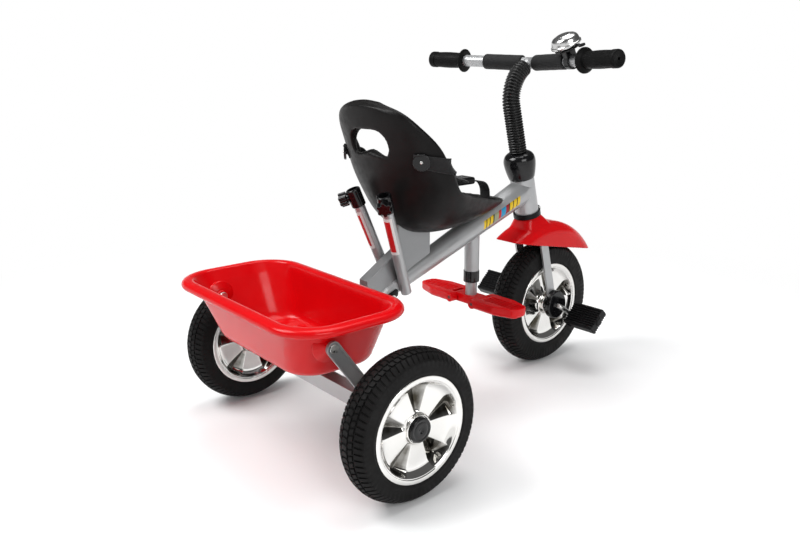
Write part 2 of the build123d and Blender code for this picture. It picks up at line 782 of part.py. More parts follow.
with BuildPart() as stem:
    with BuildLine():
        Line(stem_start, stem_point(STEM_RISE))
        ThreePointArc(
            stem_point(STEM_RISE),
            stem_point(STEM_RISE + STEM_TURN_LENGTH / 2),
            stem_point(STEM_RISE + STEM_TURN_LENGTH),
        )
        Line(stem_point(STEM_RISE + STEM_TURN_LENGTH), BAR_MIDDLE)
    with BuildSketch(Plane(stem_start, x_dir=(0, 1, 0), z_dir=STEER_AXIS)):
        Circle(STEM_RADIUS)
        Circle(STEM_RADIUS - STEM_WALL, mode=Mode.SUBTRACT)
    sweep()
    add(bar_form.part, mode=Mode.SUBTRACT)
    for piece in stem.solids().sort_by(SortBy.VOLUME)[:-1]:
        add(piece, mode=Mode.SUBTRACT)
save(stem, "stem")

bellows_length = STEM_LENGTH - BELLOWS_GAP
rib_pitch = bellows_length / RIBS
rib_steps = (
    (0, RIB_VALLEY_RADIUS),
    (RIB_SLOPE_SHARE, RIB_RADIUS),
    (RIB_SLOPE_SHARE + RIB_TOP_SHARE, RIB_RADIUS),
    (2 * RIB_SLOPE_SHARE + RIB_TOP_SHARE, RIB_VALLEY_RADIUS),
)

with BuildPart() as stem_bellows:
    for rib in range(RIBS):
        for share, rib_radius in rib_steps:
            with BuildSketch(stem_plane((rib + share) * rib_pitch)):
                Circle(rib_radius)
    loft(ruled=True)
    with BuildLine():
        Line(stem_point(0), stem_point(STEM_RISE))
        ThreePointArc(
            stem_point(STEM_RISE),
            stem_point(STEM_RISE + STEM_TURN_LENGTH / 2),
            stem_point(STEM_RISE + STEM_TURN_LENGTH),
        )
        Line(stem_point(STEM_RISE + STEM_TURN_LENGTH), BAR_MIDDLE)
    with BuildSketch(stem_plane(0)):
        Circle(BELLOWS_BORE)
    sweep(mode=Mode.SUBTRACT)
save(stem_bellows, "stem_bellows")


# Grips, foam sleeves and bell
def arm_plane(name):
    """Plane through one arm of the bar, with local x outward along it and local y up."""
    along = (BAR_ENDS[name] - BAR_MIDDLE).normalized()
    return Plane(BAR_MIDDLE, x_dir=along, z_dir=along.cross(Vector(0, 0, 1)).normalized())


with BuildPart() as grips:
    for side_name in SIDES:
        with BuildSketch(arm_plane(side_name)):
            with BuildLine():
                Polyline(
                    (GRIP_START, BAR_RADIUS),
                    (GRIP_START, FLANGE_RADIUS),
                    (GRIP_START + FLANGE_WIDTH, FLANGE_RADIUS),
                    (GRIP_START + 2 * FLANGE_WIDTH, GRIP_RADIUS),
                    (ARM_LENGTH + GRIP_END, GRIP_RADIUS),
                    (ARM_LENGTH + GRIP_END, END_HOLE_RADIUS),
                    (ARM_LENGTH, END_HOLE_RADIUS),
                    (ARM_LENGTH, BAR_RADIUS),
                    close=True,
                )
            make_face()
        revolve(axis=Axis(BAR_MIDDLE, arm_plane(side_name).x_dir))
save(grips, "grips")

with BuildPart() as foam_sleeves:
    for side_name, foam_start in (("left", FOAM_LEFT_START), ("right", FOAM_RIGHT_START)):
        with BuildSketch(arm_plane(side_name)) as foam_section:
            with Locations((foam_start, BAR_RADIUS)):
                Rectangle(FOAM_LENGTH, FOAM_RADIUS - BAR_RADIUS, align=(Align.MIN, Align.MIN))
            fillet(foam_section.vertices().group_by(Axis.Y)[-1], FOAM_ROUNDING)
        revolve(axis=Axis(BAR_MIDDLE, arm_plane(side_name).x_dir))
save(foam_sleeves, "foam_sleeves")

right_arm = arm_plane("right")
bell_foot = BAR_MIDDLE + right_arm.x_dir * BELL_PLACE
bell_up = right_arm.y_dir * cos(radians(BELL_TILT)) + right_arm.z_dir * sin(radians(BELL_TILT))
BELL = Plane(bell_foot, x_dir=right_arm.x_dir, z_dir=bell_up)
BELL_CLAMP = Plane(bell_foot, x_dir=bell_up, z_dir=right_arm.x_dir)
BASE_TOP = BELL_BASE_HEIGHT + BELL_BASE_THICKNESS
DOME_BOTTOM = BASE_TOP + BELL_SLOT
DOME_TOP = DOME_BOTTOM + DOME_HEIGHT

with BuildPart() as bell_dome:
    with BuildSketch(Plane(bell_foot, x_dir=BELL.x_dir, z_dir=-BELL.y_dir)):
        with BuildLine():
            Spline(
                (DOME_RADIUS, DOME_BOTTOM),
                (DOME_SHOULDER_OUT * DOME_RADIUS, DOME_BOTTOM + DOME_SHOULDER_UP * DOME_HEIGHT),
                (0, DOME_TOP),
                tangents=((0, 1), (-1, 0)),
            )
            Line((0, DOME_TOP), (0, DOME_TOP - DOME_WALL))
            Spline(
                (0, DOME_TOP - DOME_WALL),
                (
                    DOME_SHOULDER_OUT * (DOME_RADIUS - DOME_WALL),
                    DOME_BOTTOM + DOME_SHOULDER_UP * (DOME_HEIGHT - DOME_WALL),
                ),
                (DOME_RADIUS - DOME_WALL, DOME_BOTTOM),
                tangents=((1, 0), (0, -1)),
            )
            Line((DOME_RADIUS - DOME_WALL, DOME_BOTTOM), (DOME_RADIUS, DOME_BOTTOM))
        make_face()
    revolve(axis=Axis(bell_foot, bell_up))
save(bell_dome, "bell_dome")

with BuildPart() as bell_base:
    with Locations(BELL_CLAMP):
        Cylinder(BAR_RADIUS + BELL_CLAMP_WALL, BELL_CLAMP_WIDTH)
    with Locations(BELL):
        Box(BELL_CLAMP_WIDTH, 2 * BAR_RADIUS, BELL_BASE_HEIGHT, align=BASE)
    with Locations(BELL.offset(BELL_BASE_HEIGHT)):
        Cylinder(BELL_BASE_RADIUS, BELL_BASE_THICKNESS, align=BASE)
    with Locations(BELL.offset(BASE_TOP)):
        Cylinder(BELL_POST_RADIUS, DOME_TOP - DOME_WALL - BASE_TOP, align=BASE)
        with Locations((LEVER_PIVOT, 0, 0)):
            Cylinder(LEVER_PIN_RADIUS, BELL_SLOT, align=BASE)
    with Locations(BELL_CLAMP):
        Cylinder(BAR_RADIUS, 2 * BELL_CLAMP_WIDTH, mode=Mode.SUBTRACT)
    add(bell_dome.part, mode=Mode.SUBTRACT)
save(bell_base, "bell_base")

with BuildPart() as bell_lever:
    with BuildSketch(BELL.offset(BASE_TOP + (BELL_SLOT - LEVER_THICKNESS) / 2)):
        with Locations((LEVER_PIVOT, 0)):
            Circle(LEVER_PIN_RADIUS + LEVER_WALL)
            Rectangle(LEVER_REACH - LEVER_PIVOT, LEVER_WIDTH, align=(Align.MIN, Align.CENTER))
        with Locations((LEVER_REACH, 0)):
            Circle(LEVER_WIDTH)
        with Locations((LEVER_PIVOT, 0)):
            Circle(LEVER_PIN_RADIUS + RUNNING, mode=Mode.SUBTRACT)
    extrude(amount=LEVER_THICKNESS)
save(bell_lever, "bell_lever")

# Footrest post
POST_BOTTOM = FOOTREST_HEIGHT - FOOTREST_THICKNESS / 2

with BuildPart() as post_socket:
    with Locations(ahead(POST_AHEAD, 0, SOCKET_BOTTOM)):
        Cylinder(SOCKET_RADIUS, BEND_HEIGHT, align=BASE)
        Cylinder(POST_RADIUS, BEND_HEIGHT, align=BASE, mode=Mode.SUBTRACT)
    add(tube_form.part, mode=Mode.SUBTRACT)
    for piece in post_socket.solids().sort_by(Axis.Z)[1:]:
        add(piece, mode=Mode.SUBTRACT)
save(post_socket, "post_socket")

with BuildPart() as footrest_post:
    with Locations(ahead(POST_AHEAD, 0, POST_BOTTOM)):
        Cylinder(POST_RADIUS, POST_TOP - POST_BOTTOM, align=BASE)
        Cylinder(POST_RADIUS - POST_WALL, POST_TOP - POST_BOTTOM, align=BASE, mode=Mode.SUBTRACT)
save(footrest_post, "footrest_post")

with BuildPart() as post_collar:
    with Locations(ahead(POST_AHEAD, 0, SOCKET_BOTTOM)):
        Cylinder(POST_RADIUS + COLLAR_WALL, COLLAR_HEIGHT, align=(Align.CENTER, Align.CENTER, Align.MAX))
        Cylinder(POST_RADIUS, 2 * COLLAR_HEIGHT, mode=Mode.SUBTRACT)
    fillet(post_collar.faces().sort_by(Axis.Z)[0].outer_wire().edges(), COLLAR_WALL / 2)
save(post_collar, "post_collar")

hinge_places = [ahead(POST_AHEAD, side * HINGE_OFFSET, FOOTREST_HEIGHT) for side in (-1, 1)]
bracket_end = HINGE_LOBE - 1

with BuildPart() as footrest_pins:
    with Locations(*hinge_places):
        Cylinder(PIN_RADIUS, FOOTREST_WIDTH, rotation=(0, 90, 0))
save(footrest_pins, "footrest_pins")

with BuildPart() as footrest_bracket:
    with Locations(ahead(POST_AHEAD, 0, FOOTREST_HEIGHT)):
        Box(HINGE_BRACKET_WIDTH, 2 * HINGE_OFFSET, 2 * bracket_end)
    with Locations(*hinge_places):
        Cylinder(bracket_end, HINGE_BRACKET_WIDTH, rotation=(0, 90, 0))
    with Locations(ahead(POST_AHEAD, 0, POST_BOTTOM)):
        Cylinder(POST_RADIUS, 4 * bracket_end, align=BASE, mode=Mode.SUBTRACT)
    add(footrest_pins.part, mode=Mode.SUBTRACT)
save(footrest_bracket, "footrest_bracket")

for side_name, side in SIDES.items():
    hinge = ahead(POST_AHEAD, side * HINGE_OFFSET, FOOTREST_HEIGHT)
    groove_length = FOOTREST_LENGTH - HINGE_LOBE - 3 * FOOTREST_RIM
    groove_pitch = (FOOTREST_TIP_WIDTH - FOOTREST_RIM) / FOOTREST_GROOVES
    with BuildPart() as footrest:
        with BuildSketch(Plane(hinge - Vector(0, 0, FOOTREST_THICKNESS / 2))) as plan:
            Polygon(
                (-FOOTREST_WIDTH / 2, 0),
                (FOOTREST_WIDTH / 2, 0),
                (FOOTREST_WIDTH / 2, side * FOOTREST_LENGTH * FOOTREST_STRAIGHT_SHARE),
                (FOOTREST_TIP_WIDTH / 2, side * FOOTREST_LENGTH),
                (-FOOTREST_TIP_WIDTH / 2, side * FOOTREST_LENGTH),
                (-FOOTREST_WIDTH / 2, side * FOOTREST_LENGTH * FOOTREST_STRAIGHT_SHARE),
                align=None,
            )
            fillet(plan.vertices().filter_by(lambda v: side * v.Y > FOOTREST_LENGTH / 2), FOOTREST_CORNER)
        extrude(amount=FOOTREST_THICKNESS)
        underside = footrest.faces().sort_by(Axis.Z)[0].edges()
        fillet(underside.filter_by(lambda e: side * (e.center().Y - hinge.Y) > GAP), FOOTREST_ROUNDING)
        with Locations(hinge):
            Cylinder(HINGE_LOBE, FOOTREST_WIDTH, rotation=(0, 90, 0))
            Box(HINGE_BRACKET_WIDTH + 2 * GAP, 2 * HINGE_LOBE, 3 * HINGE_LOBE, mode=Mode.SUBTRACT)
            Cylinder(PIN_RADIUS + RUNNING, 2 * FOOTREST_WIDTH, rotation=(0, 90, 0), mode=Mode.SUBTRACT)
        groove_middle = side * (HINGE_LOBE + FOOTREST_RIM + groove_length / 2)
        with Locations(hinge + Vector(0, groove_middle, FOOTREST_THICKNESS / 2)):
            with GridLocations(groove_pitch, 1, FOOTREST_GROOVES, 1):
                Box(groove_pitch * GROOVE_SHARE, groove_length, 2 * FOOTREST_RECESS, mode=Mode.SUBTRACT)
    save(footrest, f"footrest_{side_name}")

# Push handle sockets, clamps and knobs
HANDLE_FEET = {
    name: ahead(SOCKET_FOOT[0], side * SOCKET_FOOT[1], SOCKET_FOOT[2]) for name, side in SIDES.items()
}
HANDLE_MOUTHS = {
    name: ahead(SOCKET_MOUTH[0], side * SOCKET_MOUTH[1], SOCKET_MOUTH[2]) for name, side in SIDES.items()
}


def handle_plane(name, along):
    """Plane square to one handle socket, at a distance along it from its mouth."""
    up = (HANDLE_MOUTHS[name] - HANDLE_FEET[name]).normalized()
    return Plane(HANDLE_MOUTHS[name] + up * along, x_dir=(0, 1, 0), z_dir=up)


def knob_plane(name, along):
    """Plane square to one knob's axis, at a distance along it from the socket's axis."""
    socket = handle_plane(name, KNOB_RISE)
    outward = socket.x_dir * SIDES[name]
    knob_axis = socket.y_dir * cos(radians(KNOB_TURN)) + outward * sin(radians(KNOB_TURN))
    return Plane(socket.origin + knob_axis * along, x_dir=socket.z_dir, z_dir=knob_axis)


SHANK_TIP = HANDLE_BORE + GAP
KNOB_FOOT = CLAMP_BOSS_REACH + GAP

for side_name in SIDES:
    socket_length = (HANDLE_MOUTHS[side_name] - HANDLE_FEET[side_name]).length
    with BuildPart() as handle_socket:
        with Locations(handle_plane(side_name, -socket_length)):
            Cylinder(HANDLE_RADIUS, socket_length, align=BASE)
        with Locations(handle_plane(side_name, -HANDLE_BORE_DEPTH)):
            Cylinder(HANDLE_BORE, HANDLE_BORE_DEPTH, align=BASE, mode=Mode.SUBTRACT)
        add(tube_form.part, mode=Mode.SUBTRACT)
        for piece in handle_socket.solids().sort_by(SortBy.VOLUME)[:-1]:
            add(piece, mode=Mode.SUBTRACT)
    save(handle_socket, f"handle_socket_{side_name}")

    with BuildPart() as knob:
        with BuildSketch(knob_plane(side_name, KNOB_FOOT)):
            Circle(KNOB_RADIUS)
            with PolarLocations(KNOB_RADIUS, KNOB_LOBES):
                Circle(KNOB_LOBE_RADIUS)
        extrude(amount=KNOB_LENGTH)
        knob_way = Axis(knob_plane(side_name, 0).origin, knob_plane(side_name, 0).z_dir)
        fillet(knob.faces().sort_by(knob_way)[-1].edges(), KNOB_LOBE_RADIUS / 3)
        with Locations(knob_plane(side_name, SHANK_TIP)):
            Cylinder(SHANK_RADIUS, KNOB_FOOT - SHANK_TIP, align=BASE)
    save(knob, f"knob_{side_name}")

with BuildPart() as handle_clamps:
    for side_name in SIDES:
        with Locations(handle_plane(side_name, -CLAMP_OVERLAP)):
            Cylinder(CLAMP_RADIUS, CLAMP_HEIGHT, align=BASE)
    fillet(handle_clamps.edges().filter_by(GeomType.CIRCLE), CLAMP_ROUNDING)
    for side_name in SIDES:
        with Locations(knob_plane(side_name, 0)):
            Cylinder(CLAMP_BOSS_RADIUS, CLAMP_BOSS_REACH, align=BASE)
        with Locations(handle_plane(side_name, -CLAMP_OVERLAP)):
            Cylinder(HANDLE_RADIUS, CLAMP_OVERLAP, align=BASE, mode=Mode.SUBTRACT)
            Cylinder(HANDLE_BORE, 2 * CLAMP_HEIGHT, align=BASE, mode=Mode.SUBTRACT)
        with Locations(knob_plane(side_name, 0)):
            Cylinder(SHANK_RADIUS + RUNNING, 2 * CLAMP_BOSS_REACH, align=BASE, mode=Mode.SUBTRACT)
save(handle_clamps, "handle_clamps")


# Seat
def seat_plane(station):
    """Plane of one seat section, with local x along Y and local y from the shell to the rim."""
    middle, rim, half_width = SEAT_STATIONS[station]
    foot = ahead(middle[0], 0, middle[1])
    inward = (ahead(rim[0], 0, rim[1]) - foot).normalized()
    return Plane(foot, x_dir=(0, 1, 0), z_dir=Vector(0, 1, 0).cross(inward))


def seat_depth(station):
    """Distance from the middle of the shell to the rim at one section."""
    middle, rim, half_width = SEAT_STATIONS[station]
    return (Vector(*rim) - Vector(*middle)).length


with BuildPart() as seat_form:
    for station, (middle, rim, half_width) in enumerate(SEAT_STATIONS):
        depth = seat_depth(station)
        with BuildSketch(seat_plane(station)):
            with BuildLine():
                EllipticalCenterArc(
                    (0, depth),
                    half_width,
                    depth,
                    start_angle=HALF_TURN,
                    arc_size=HALF_TURN,
                )
                Line((half_width, depth), (-half_width, depth))
            make_face()
    loft()

with BuildPart() as seat_hollow:
    for station, (middle, rim, half_width) in list(enumerate(SEAT_STATIONS))[1:-1]:
        depth = seat_depth(station)
        inner_width = half_width - SEAT_WALL
        with BuildSketch(seat_plane(station)):
            with BuildLine():
                EllipticalCenterArc(
                    (0, depth),
                    inner_width,
                    depth - SEAT_WALL,
                    start_angle=HALF_TURN,
                    arc_size=HALF_TURN,
                )
                Polyline(
                    (inner_width, depth),
                    (inner_width, depth + SEAT_TRIM),
                    (-inner_width, depth + SEAT_TRIM),
                    (-inner_width, depth),
                )
            make_face()
    loft()

hole_back = ahead(SEAT_STATIONS[0][0][0], 0, HAND_HOLE_HEIGHT)
with BuildPart() as hand_hole:
    with BuildSketch(axial_plane(hole_back)):
        with BuildLine():
            Spline(*HAND_HOLE_OUTLINE, periodic=True)
        make_face()
    extrude(amount=SEAT_STATIONS[4][1][0] - SEAT_STATIONS[0][0][0], both=True)

with BuildPart() as hole_collar:
    collar_stretch = 1 + HAND_HOLE_COLLAR / HAND_HOLE_OUTLINE[0][0]
    collar_outline = [(x * collar_stretch, y + copysign(HAND_HOLE_COLLAR, y)) for x, y in HAND_HOLE_OUTLINE]
    collar_reach = SEAT_STATIONS[3][0][0] + HAND_HOLE_DEPTH - SEAT_STATIONS[0][0][0]
    with BuildSketch(axial_plane(hole_back)):
        with BuildLine():
            Spline(*collar_outline, periodic=True)
        make_face()
    extrude(amount=collar_reach)
    add(seat_form.part, mode=Mode.INTERSECT)

with BuildPart() as seat_shell:
    add(seat_form.part)
    add(seat_hollow.part, mode=Mode.SUBTRACT)
    add(hole_collar.part)
    add(hand_hole.part, mode=Mode.SUBTRACT)
    add(tube_form.part, mode=Mode.SUBTRACT)
    with Locations(*SEAT_BOLTS):
        Cylinder(SEAT_BOLT_RADIUS, SEAT_BOLT_LENGTH, align=BASE, mode=Mode.SUBTRACT)
save(seat_shell, "seat_shell")

with BuildPart() as seat_pad:
    for station in PAD_STATIONS:
        half_width = SEAT_STATIONS[station][2] - SEAT_WALL + PAD_BED
        depth = seat_depth(station)
        fall = depth - SEAT_WALL + PAD_BED
        edge = degrees(asin((fall - PAD_HEIGHT) / fall))
        reach = half_width * cos(radians(edge))
        bed_edge = depth - fall * sin(radians(edge))
        with BuildSketch(seat_plane(station)):
            with BuildLine():
                EllipticalCenterArc(
                    (0, depth),
                    half_width,
                    fall,
                    start_angle=HALF_TURN + edge,
                    arc_size=HALF_TURN - 2 * edge,
                )
                ThreePointArc((reach, bed_edge), (0, bed_edge + PAD_CROWN), (-reach, bed_edge))
            make_face()
    loft()
    add(seat_hollow.part, mode=Mode.INTERSECT)
save(seat_pad, "seat_pad")

with BuildPart() as seat_bracket:
    down = (AXLE - BEND).normalized()
    rear_foot = BEND + down * ((BEND_AHEAD - BRACKET_REAR) / -down.X)
    along = (MAIN_FRONT - BEND).normalized()
    front_foot = BEND + along * ((BRACKET_FRONT - BEND_AHEAD) / along.X)
    seat_height = SEAT_STATIONS[9][1][1]
    with BuildSketch(Plane.XZ):
        Polygon(
            (rear_foot.X, rear_foot.Z),
            (REAR_X + BRACKET_REAR, BRACKET_REAR_TOP),
            (REAR_X + BRACKET_NECK[0], BRACKET_NECK[1]),
            (REAR_X + BRACKET_NECK[0], seat_height),
            (REAR_X + BRACKET_FRONT, seat_height),
            (front_foot.X, front_foot.Z),
            (BEND.X, BEND.Z),
            align=None,
        )
    extrude(amount=BRACKET_WIDTH / 2, both=True)
    add(tube_form.part, mode=Mode.SUBTRACT)
    add(seat_form.part, mode=Mode.SUBTRACT)
    with Locations(*SEAT_BOLTS):
        Cylinder(SEAT_BOLT_RADIUS, SEAT_BOLT_LENGTH, align=BASE, mode=Mode.SUBTRACT)
    for piece in seat_bracket.solids().sort_by(SortBy.VOLUME)[:-1]:
        add(piece, mode=Mode.SUBTRACT)
save(seat_bracket, "seat_bracket")

with BuildPart() as tube_saddle:
    with BuildSketch(facing(BEND, MAIN_FRONT).offset(-SADDLE_BACK)):
        Circle(SADDLE_RADIUS)
    extrude(amount=SADDLE_LENGTH)
    split(bisect_by=Plane(BEND, x_dir=along, z_dir=Vector(0, 1, 0).cross(along)))
    add(tube_form.part, mode=Mode.SUBTRACT)
    add(frame_bolts.part, mode=Mode.SUBTRACT)
save(tube_saddle, "tube_saddle")

# Belts
buckle_point = ahead(BUCKLE_PLACE[0], 0, BUCKLE_PLACE[1])
rim_way = Vector(-cos(radians(RIM_SLOPE)), 0, sin(radians(RIM_SLOPE)))
flat_way = Vector(-cos(radians(BUCKLE_TURN)), -sin(radians(BUCKLE_TURN)), 0)

belt_planes = []
for number, (place, turn) in enumerate(LAP_BELT):
    before = ahead(*LAP_BELT[max(number - 1, 0)][0])
    beyond = ahead(*LAP_BELT[min(number + 1, len(LAP_BELT) - 1)][0])
    across = rim_way * (1 - turn) + flat_way * turn
    belt_planes.append(Plane(ahead(*place), x_dir=across, z_dir=(beyond - before).normalized()))

with BuildPart() as belt_buckle:
    with Locations(buckle_point):
        Box(BUCKLE_LENGTH, BUCKLE_WIDTH, BUCKLE_THICKNESS)
    fillet(belt_buckle.edges(), BUCKLE_ROUNDING)
save(belt_buckle, "belt_buckle")

with BuildPart() as belt_plugs:
    plug_foot = ahead(*BELT_PLUG)
    plug_out = Vector(-cos(radians(PLUG_FACING)), sin(radians(PLUG_FACING)), 0)
    plug_plane = Plane(plug_foot, x_dir=(0, 0, 1), z_dir=plug_out)
    with Locations(plug_plane.offset(PLUG_STANDOFF)):
        Cylinder(PLUG_RADIUS, PLUG_HEIGHT - PLUG_STANDOFF, align=BASE)
    fillet(belt_plugs.faces().sort_by(Axis(plug_foot, plug_out))[-1].edges(), PLUG_ROUNDING)
    with Locations(plug_plane.offset(-PLUG_STANDOFF)):
        Cylinder(PLUG_PIN_RADIUS, 2 * PLUG_STANDOFF, align=BASE)
    add(seat_form.part, mode=Mode.SUBTRACT)
    mirror(about=Plane.XZ)
save(belt_plugs, "belt_plugs")

with BuildPart() as seat_belts:
    for start, end in zip(belt_planes, belt_planes[1:]):
        for belt_plane in (start, end):
            with BuildSketch(belt_plane):
                Rectangle(WEBBING_WIDTH, WEBBING_THICKNESS)
        loft(ruled=True)
    mirror(about=Plane.XZ)
    with BuildSketch(Plane.XZ):
        with BuildLine() as crotch_line:
            Polyline(*[(REAR_X + x, z) for x, z in CROTCH_STRAP])
            offset(amount=WEBBING_THICKNESS / 2, side=Side.BOTH)
        make_face()
    extrude(amount=WEBBING_WIDTH / 2, both=True)
    add(belt_buckle.part, mode=Mode.SUBTRACT)
    add(belt_plugs.part, mode=Mode.SUBTRACT)
    add(seat_shell.part, mode=Mode.SUBTRACT)
save(seat_belts, "seat_belts")

# Bucket
PIVOT = ahead(PIVOT_AHEAD, 0, PIVOT_HEIGHT)
STRAP_OUTSIDE = STRAP_INSIDE + STRAP_THICKNESS
BOSS_OUTSIDE = STRAP_INSIDE - GAP
BOSS_INSIDE = BOSS_OUTSIDE - PIVOT_BOSS_LENGTH
rim_middle = REAR_X + (BUCKET_FRONT - BUCKET_OVERHANG) / 2
rim_length = BUCKET_FRONT + BUCKET_OVERHANG
base_middle = REAR_X + (BUCKET_BASE_FRONT + BUCKET_BASE_REAR) / 2
base_length = BUCKET_BASE_FRONT - BUCKET_BASE_REAR

with BuildPart() as bucket_form:
    with BuildSketch(Plane((base_middle, 0, BUCKET_BASE))):
        RectangleRounded(base_length, 2 * BUCKET_BASE_HALF_WIDTH, BUCKET_BASE_CORNER)
    with BuildSketch(Plane((rim_middle, 0, BUCKET_TOP - BUCKET_LIP_ROUNDING))):
        RectangleRounded(
            rim_length - 2 * BUCKET_LIP,
            2 * (BUCKET_HALF_WIDTH - BUCKET_LIP),
            BUCKET_CORNER - BUCKET_LIP,
        )
    loft(ruled=True)

with BuildPart() as pivot_pads:
    for side in (-1, 1):
        with Locations(PIVOT + Vector(0, side * (BOSS_OUTSIDE - PIVOT_PAD_DEPTH), 0)):
            Cylinder(PIVOT_PAD_RADIUS, PIVOT_PAD_DEPTH, rotation=(-90 * side, 0, 0), align=BASE)
    add(bucket_form.part, mode=Mode.INTERSECT)

with BuildPart() as bucket_hollow:
    with BuildSketch(Plane((base_middle, 0, BUCKET_BASE + BUCKET_WALL))):
        RectangleRounded(
            base_length - 2 * BUCKET_WALL,
            2 * (BUCKET_BASE_HALF_WIDTH - BUCKET_WALL),
            BUCKET_BASE_CORNER - BUCKET_WALL,
        )
    with BuildSketch(Plane((rim_middle, 0, BUCKET_TOP))):
        RectangleRounded(
            rim_length - 2 * (BUCKET_LIP + BUCKET_WALL),
            2 * (BUCKET_HALF_WIDTH - BUCKET_LIP - BUCKET_WALL),
            BUCKET_CORNER - BUCKET_LIP - BUCKET_WALL,
        )
    loft(ruled=True)

with BuildPart() as bucket_bolts:
    with Locations(PIVOT + Vector(0, BOSS_INSIDE - GAP - NUT_THICKNESS, 0)):
        shaft_length = STRAP_OUTSIDE - BOSS_INSIDE + GAP + NUT_THICKNESS
        Cylinder(PIVOT_RADIUS, shaft_length, rotation=(-90, 0, 0), align=BASE)
        Cylinder(BOLT_HEAD_RADIUS, NUT_THICKNESS, rotation=(-90, 0, 0), align=BASE)
    with Locations(PIVOT + Vector(0, STRAP_OUTSIDE, 0)):
        Cylinder(BOLT_HEAD_RADIUS, BOLT_HEAD_HEIGHT, rotation=(-90, 0, 0), align=BASE)
    mirror(about=Plane.XZ)
save(bucket_bolts, "bucket_bolts")

with BuildPart() as bucket:
    with BuildSketch(Plane((rim_middle, 0, BUCKET_TOP - BUCKET_LIP_HEIGHT))):
        RectangleRounded(rim_length, 2 * BUCKET_HALF_WIDTH, BUCKET_CORNER)
    extrude(amount=BUCKET_LIP_HEIGHT)
    fillet(bucket.faces().filter_by(Plane.XY).edges(), BUCKET_LIP_ROUNDING)
    add(bucket_form.part)
    add(bucket_hollow.part, mode=Mode.SUBTRACT)
    add(pivot_pads.part)
    for side in (-1, 1):
        with Locations(PIVOT + Vector(0, side * (BOSS_OUTSIDE + BOSS_INSIDE) / 2, 0)):
            Cylinder(PIVOT_BOSS_RADIUS, PIVOT_BOSS_LENGTH, rotation=(90, 0, 0))
    with Locations(PIVOT):
        Cylinder(PIVOT_RADIUS + RUNNING, 2 * BUCKET_HALF_WIDTH, rotation=(90, 0, 0), mode=Mode.SUBTRACT)
save(bucket, "bucket")

with BuildPart() as bucket_brackets:
    for inset, depth, mode in (
        (0, STRAP_THICKNESS + STRAP_EDGE_RISE, Mode.ADD),
        (STRAP_EDGE, STRAP_EDGE_RISE, Mode.SUBTRACT),
    ):
        with BuildSketch(side_plane(Vector(REAR_X, STRAP_OUTSIDE + STRAP_EDGE_RISE, REAR_RADIUS))):
            with Locations((0, 0), (PIVOT_AHEAD, PIVOT_HEIGHT - REAR_RADIUS)):
                Circle(STRAP_WIDTH / 2 - inset)
            make_hull()
        extrude(amount=depth, mode=mode)
    mirror(about=Plane.XZ)
    with Locations(AXLE):
        Box(BEAM_SIZE, 2 * BEAM_HALF, BEAM_SIZE, mode=Mode.SUBTRACT)
    add(bucket_bolts.part, mode=Mode.SUBTRACT)
save(bucket_brackets, "bucket_brackets")

with BuildPart() as bucket_rest:
    rest_foot = REAR_RADIUS + REST_AHEAD * (BEND_HEIGHT - REAR_RADIUS) / BEND_AHEAD
    with Locations(ahead(REST_AHEAD, 0, rest_foot)):
        Box(REST_LENGTH, REST_WIDTH, BUCKET_BASE - GAP - rest_foot, align=BASE)
    add(tube_form.part, mode=Mode.SUBTRACT)
save(bucket_rest, "bucket_rest")
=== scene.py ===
import json
from math import asin, cos, hypot, pi, radians, sin, tau

import bmesh
import bpy
from mathutils import Matrix, Vector


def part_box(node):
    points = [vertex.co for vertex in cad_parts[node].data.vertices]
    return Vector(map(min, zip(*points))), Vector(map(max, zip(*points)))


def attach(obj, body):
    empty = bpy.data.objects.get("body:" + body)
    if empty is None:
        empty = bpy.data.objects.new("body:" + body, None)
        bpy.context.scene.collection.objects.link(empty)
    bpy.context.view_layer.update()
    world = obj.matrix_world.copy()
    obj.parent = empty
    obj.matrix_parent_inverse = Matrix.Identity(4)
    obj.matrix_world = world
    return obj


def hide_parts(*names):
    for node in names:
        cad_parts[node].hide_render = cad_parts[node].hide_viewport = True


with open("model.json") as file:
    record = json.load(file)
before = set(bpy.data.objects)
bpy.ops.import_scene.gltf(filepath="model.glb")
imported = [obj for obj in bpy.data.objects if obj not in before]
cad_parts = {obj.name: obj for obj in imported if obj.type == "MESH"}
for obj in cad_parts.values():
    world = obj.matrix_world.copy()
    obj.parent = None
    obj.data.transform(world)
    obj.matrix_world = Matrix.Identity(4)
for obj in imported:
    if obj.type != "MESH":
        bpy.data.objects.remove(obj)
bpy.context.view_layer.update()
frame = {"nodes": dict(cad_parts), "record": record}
NODES = frame["nodes"]
MM = 0.001
SIDES = {"left": 1, "right": -1}


# Helpers for objects and nodes
def link(name, data):
    thing = bpy.data.objects.new(name, data)
    bpy.context.scene.collection.objects.link(thing)
    return thing


def modify(thing, kind, **settings):
    new = thing.modifiers.new(kind.lower(), kind)
    for key, value in settings.items():
        setattr(new, key, value)
    return new


def put(socket, value):
    """Links an input to another node's output, or gives it a value."""
    if isinstance(value, bpy.types.NodeSocket):
        socket.id_data.links.new(value, socket)
    else:
        socket.default_value = value


def add_node(tree, kind, **values):
    """A new node, with its inputs and settings by name."""
    new = tree.nodes.new(kind)
    for key, value in values.items():
        socket = new.inputs.get(key.replace("_", " "))
        if socket is None:
            setattr(new, key, value)
        else:
            put(socket, value)
    return new


def add_math(tree, operation, *values):
    new = add_node(tree, "ShaderNodeMath", operation=operation)
    for socket, value in zip(new.inputs, values):
        put(socket, value)
    return new.outputs[0]


# Camera
CAMERA_PLACE = Vector((-0.9136, -1.0028, 0.6187))
LOOK_YAW = radians(50.38)
LOOK_PITCH = radians(-15.08)
LOOK_ROLL = radians(-0.34)
FOCAL = 34.785
SENSOR = 36.0
NEAR_CLIP = 0.05


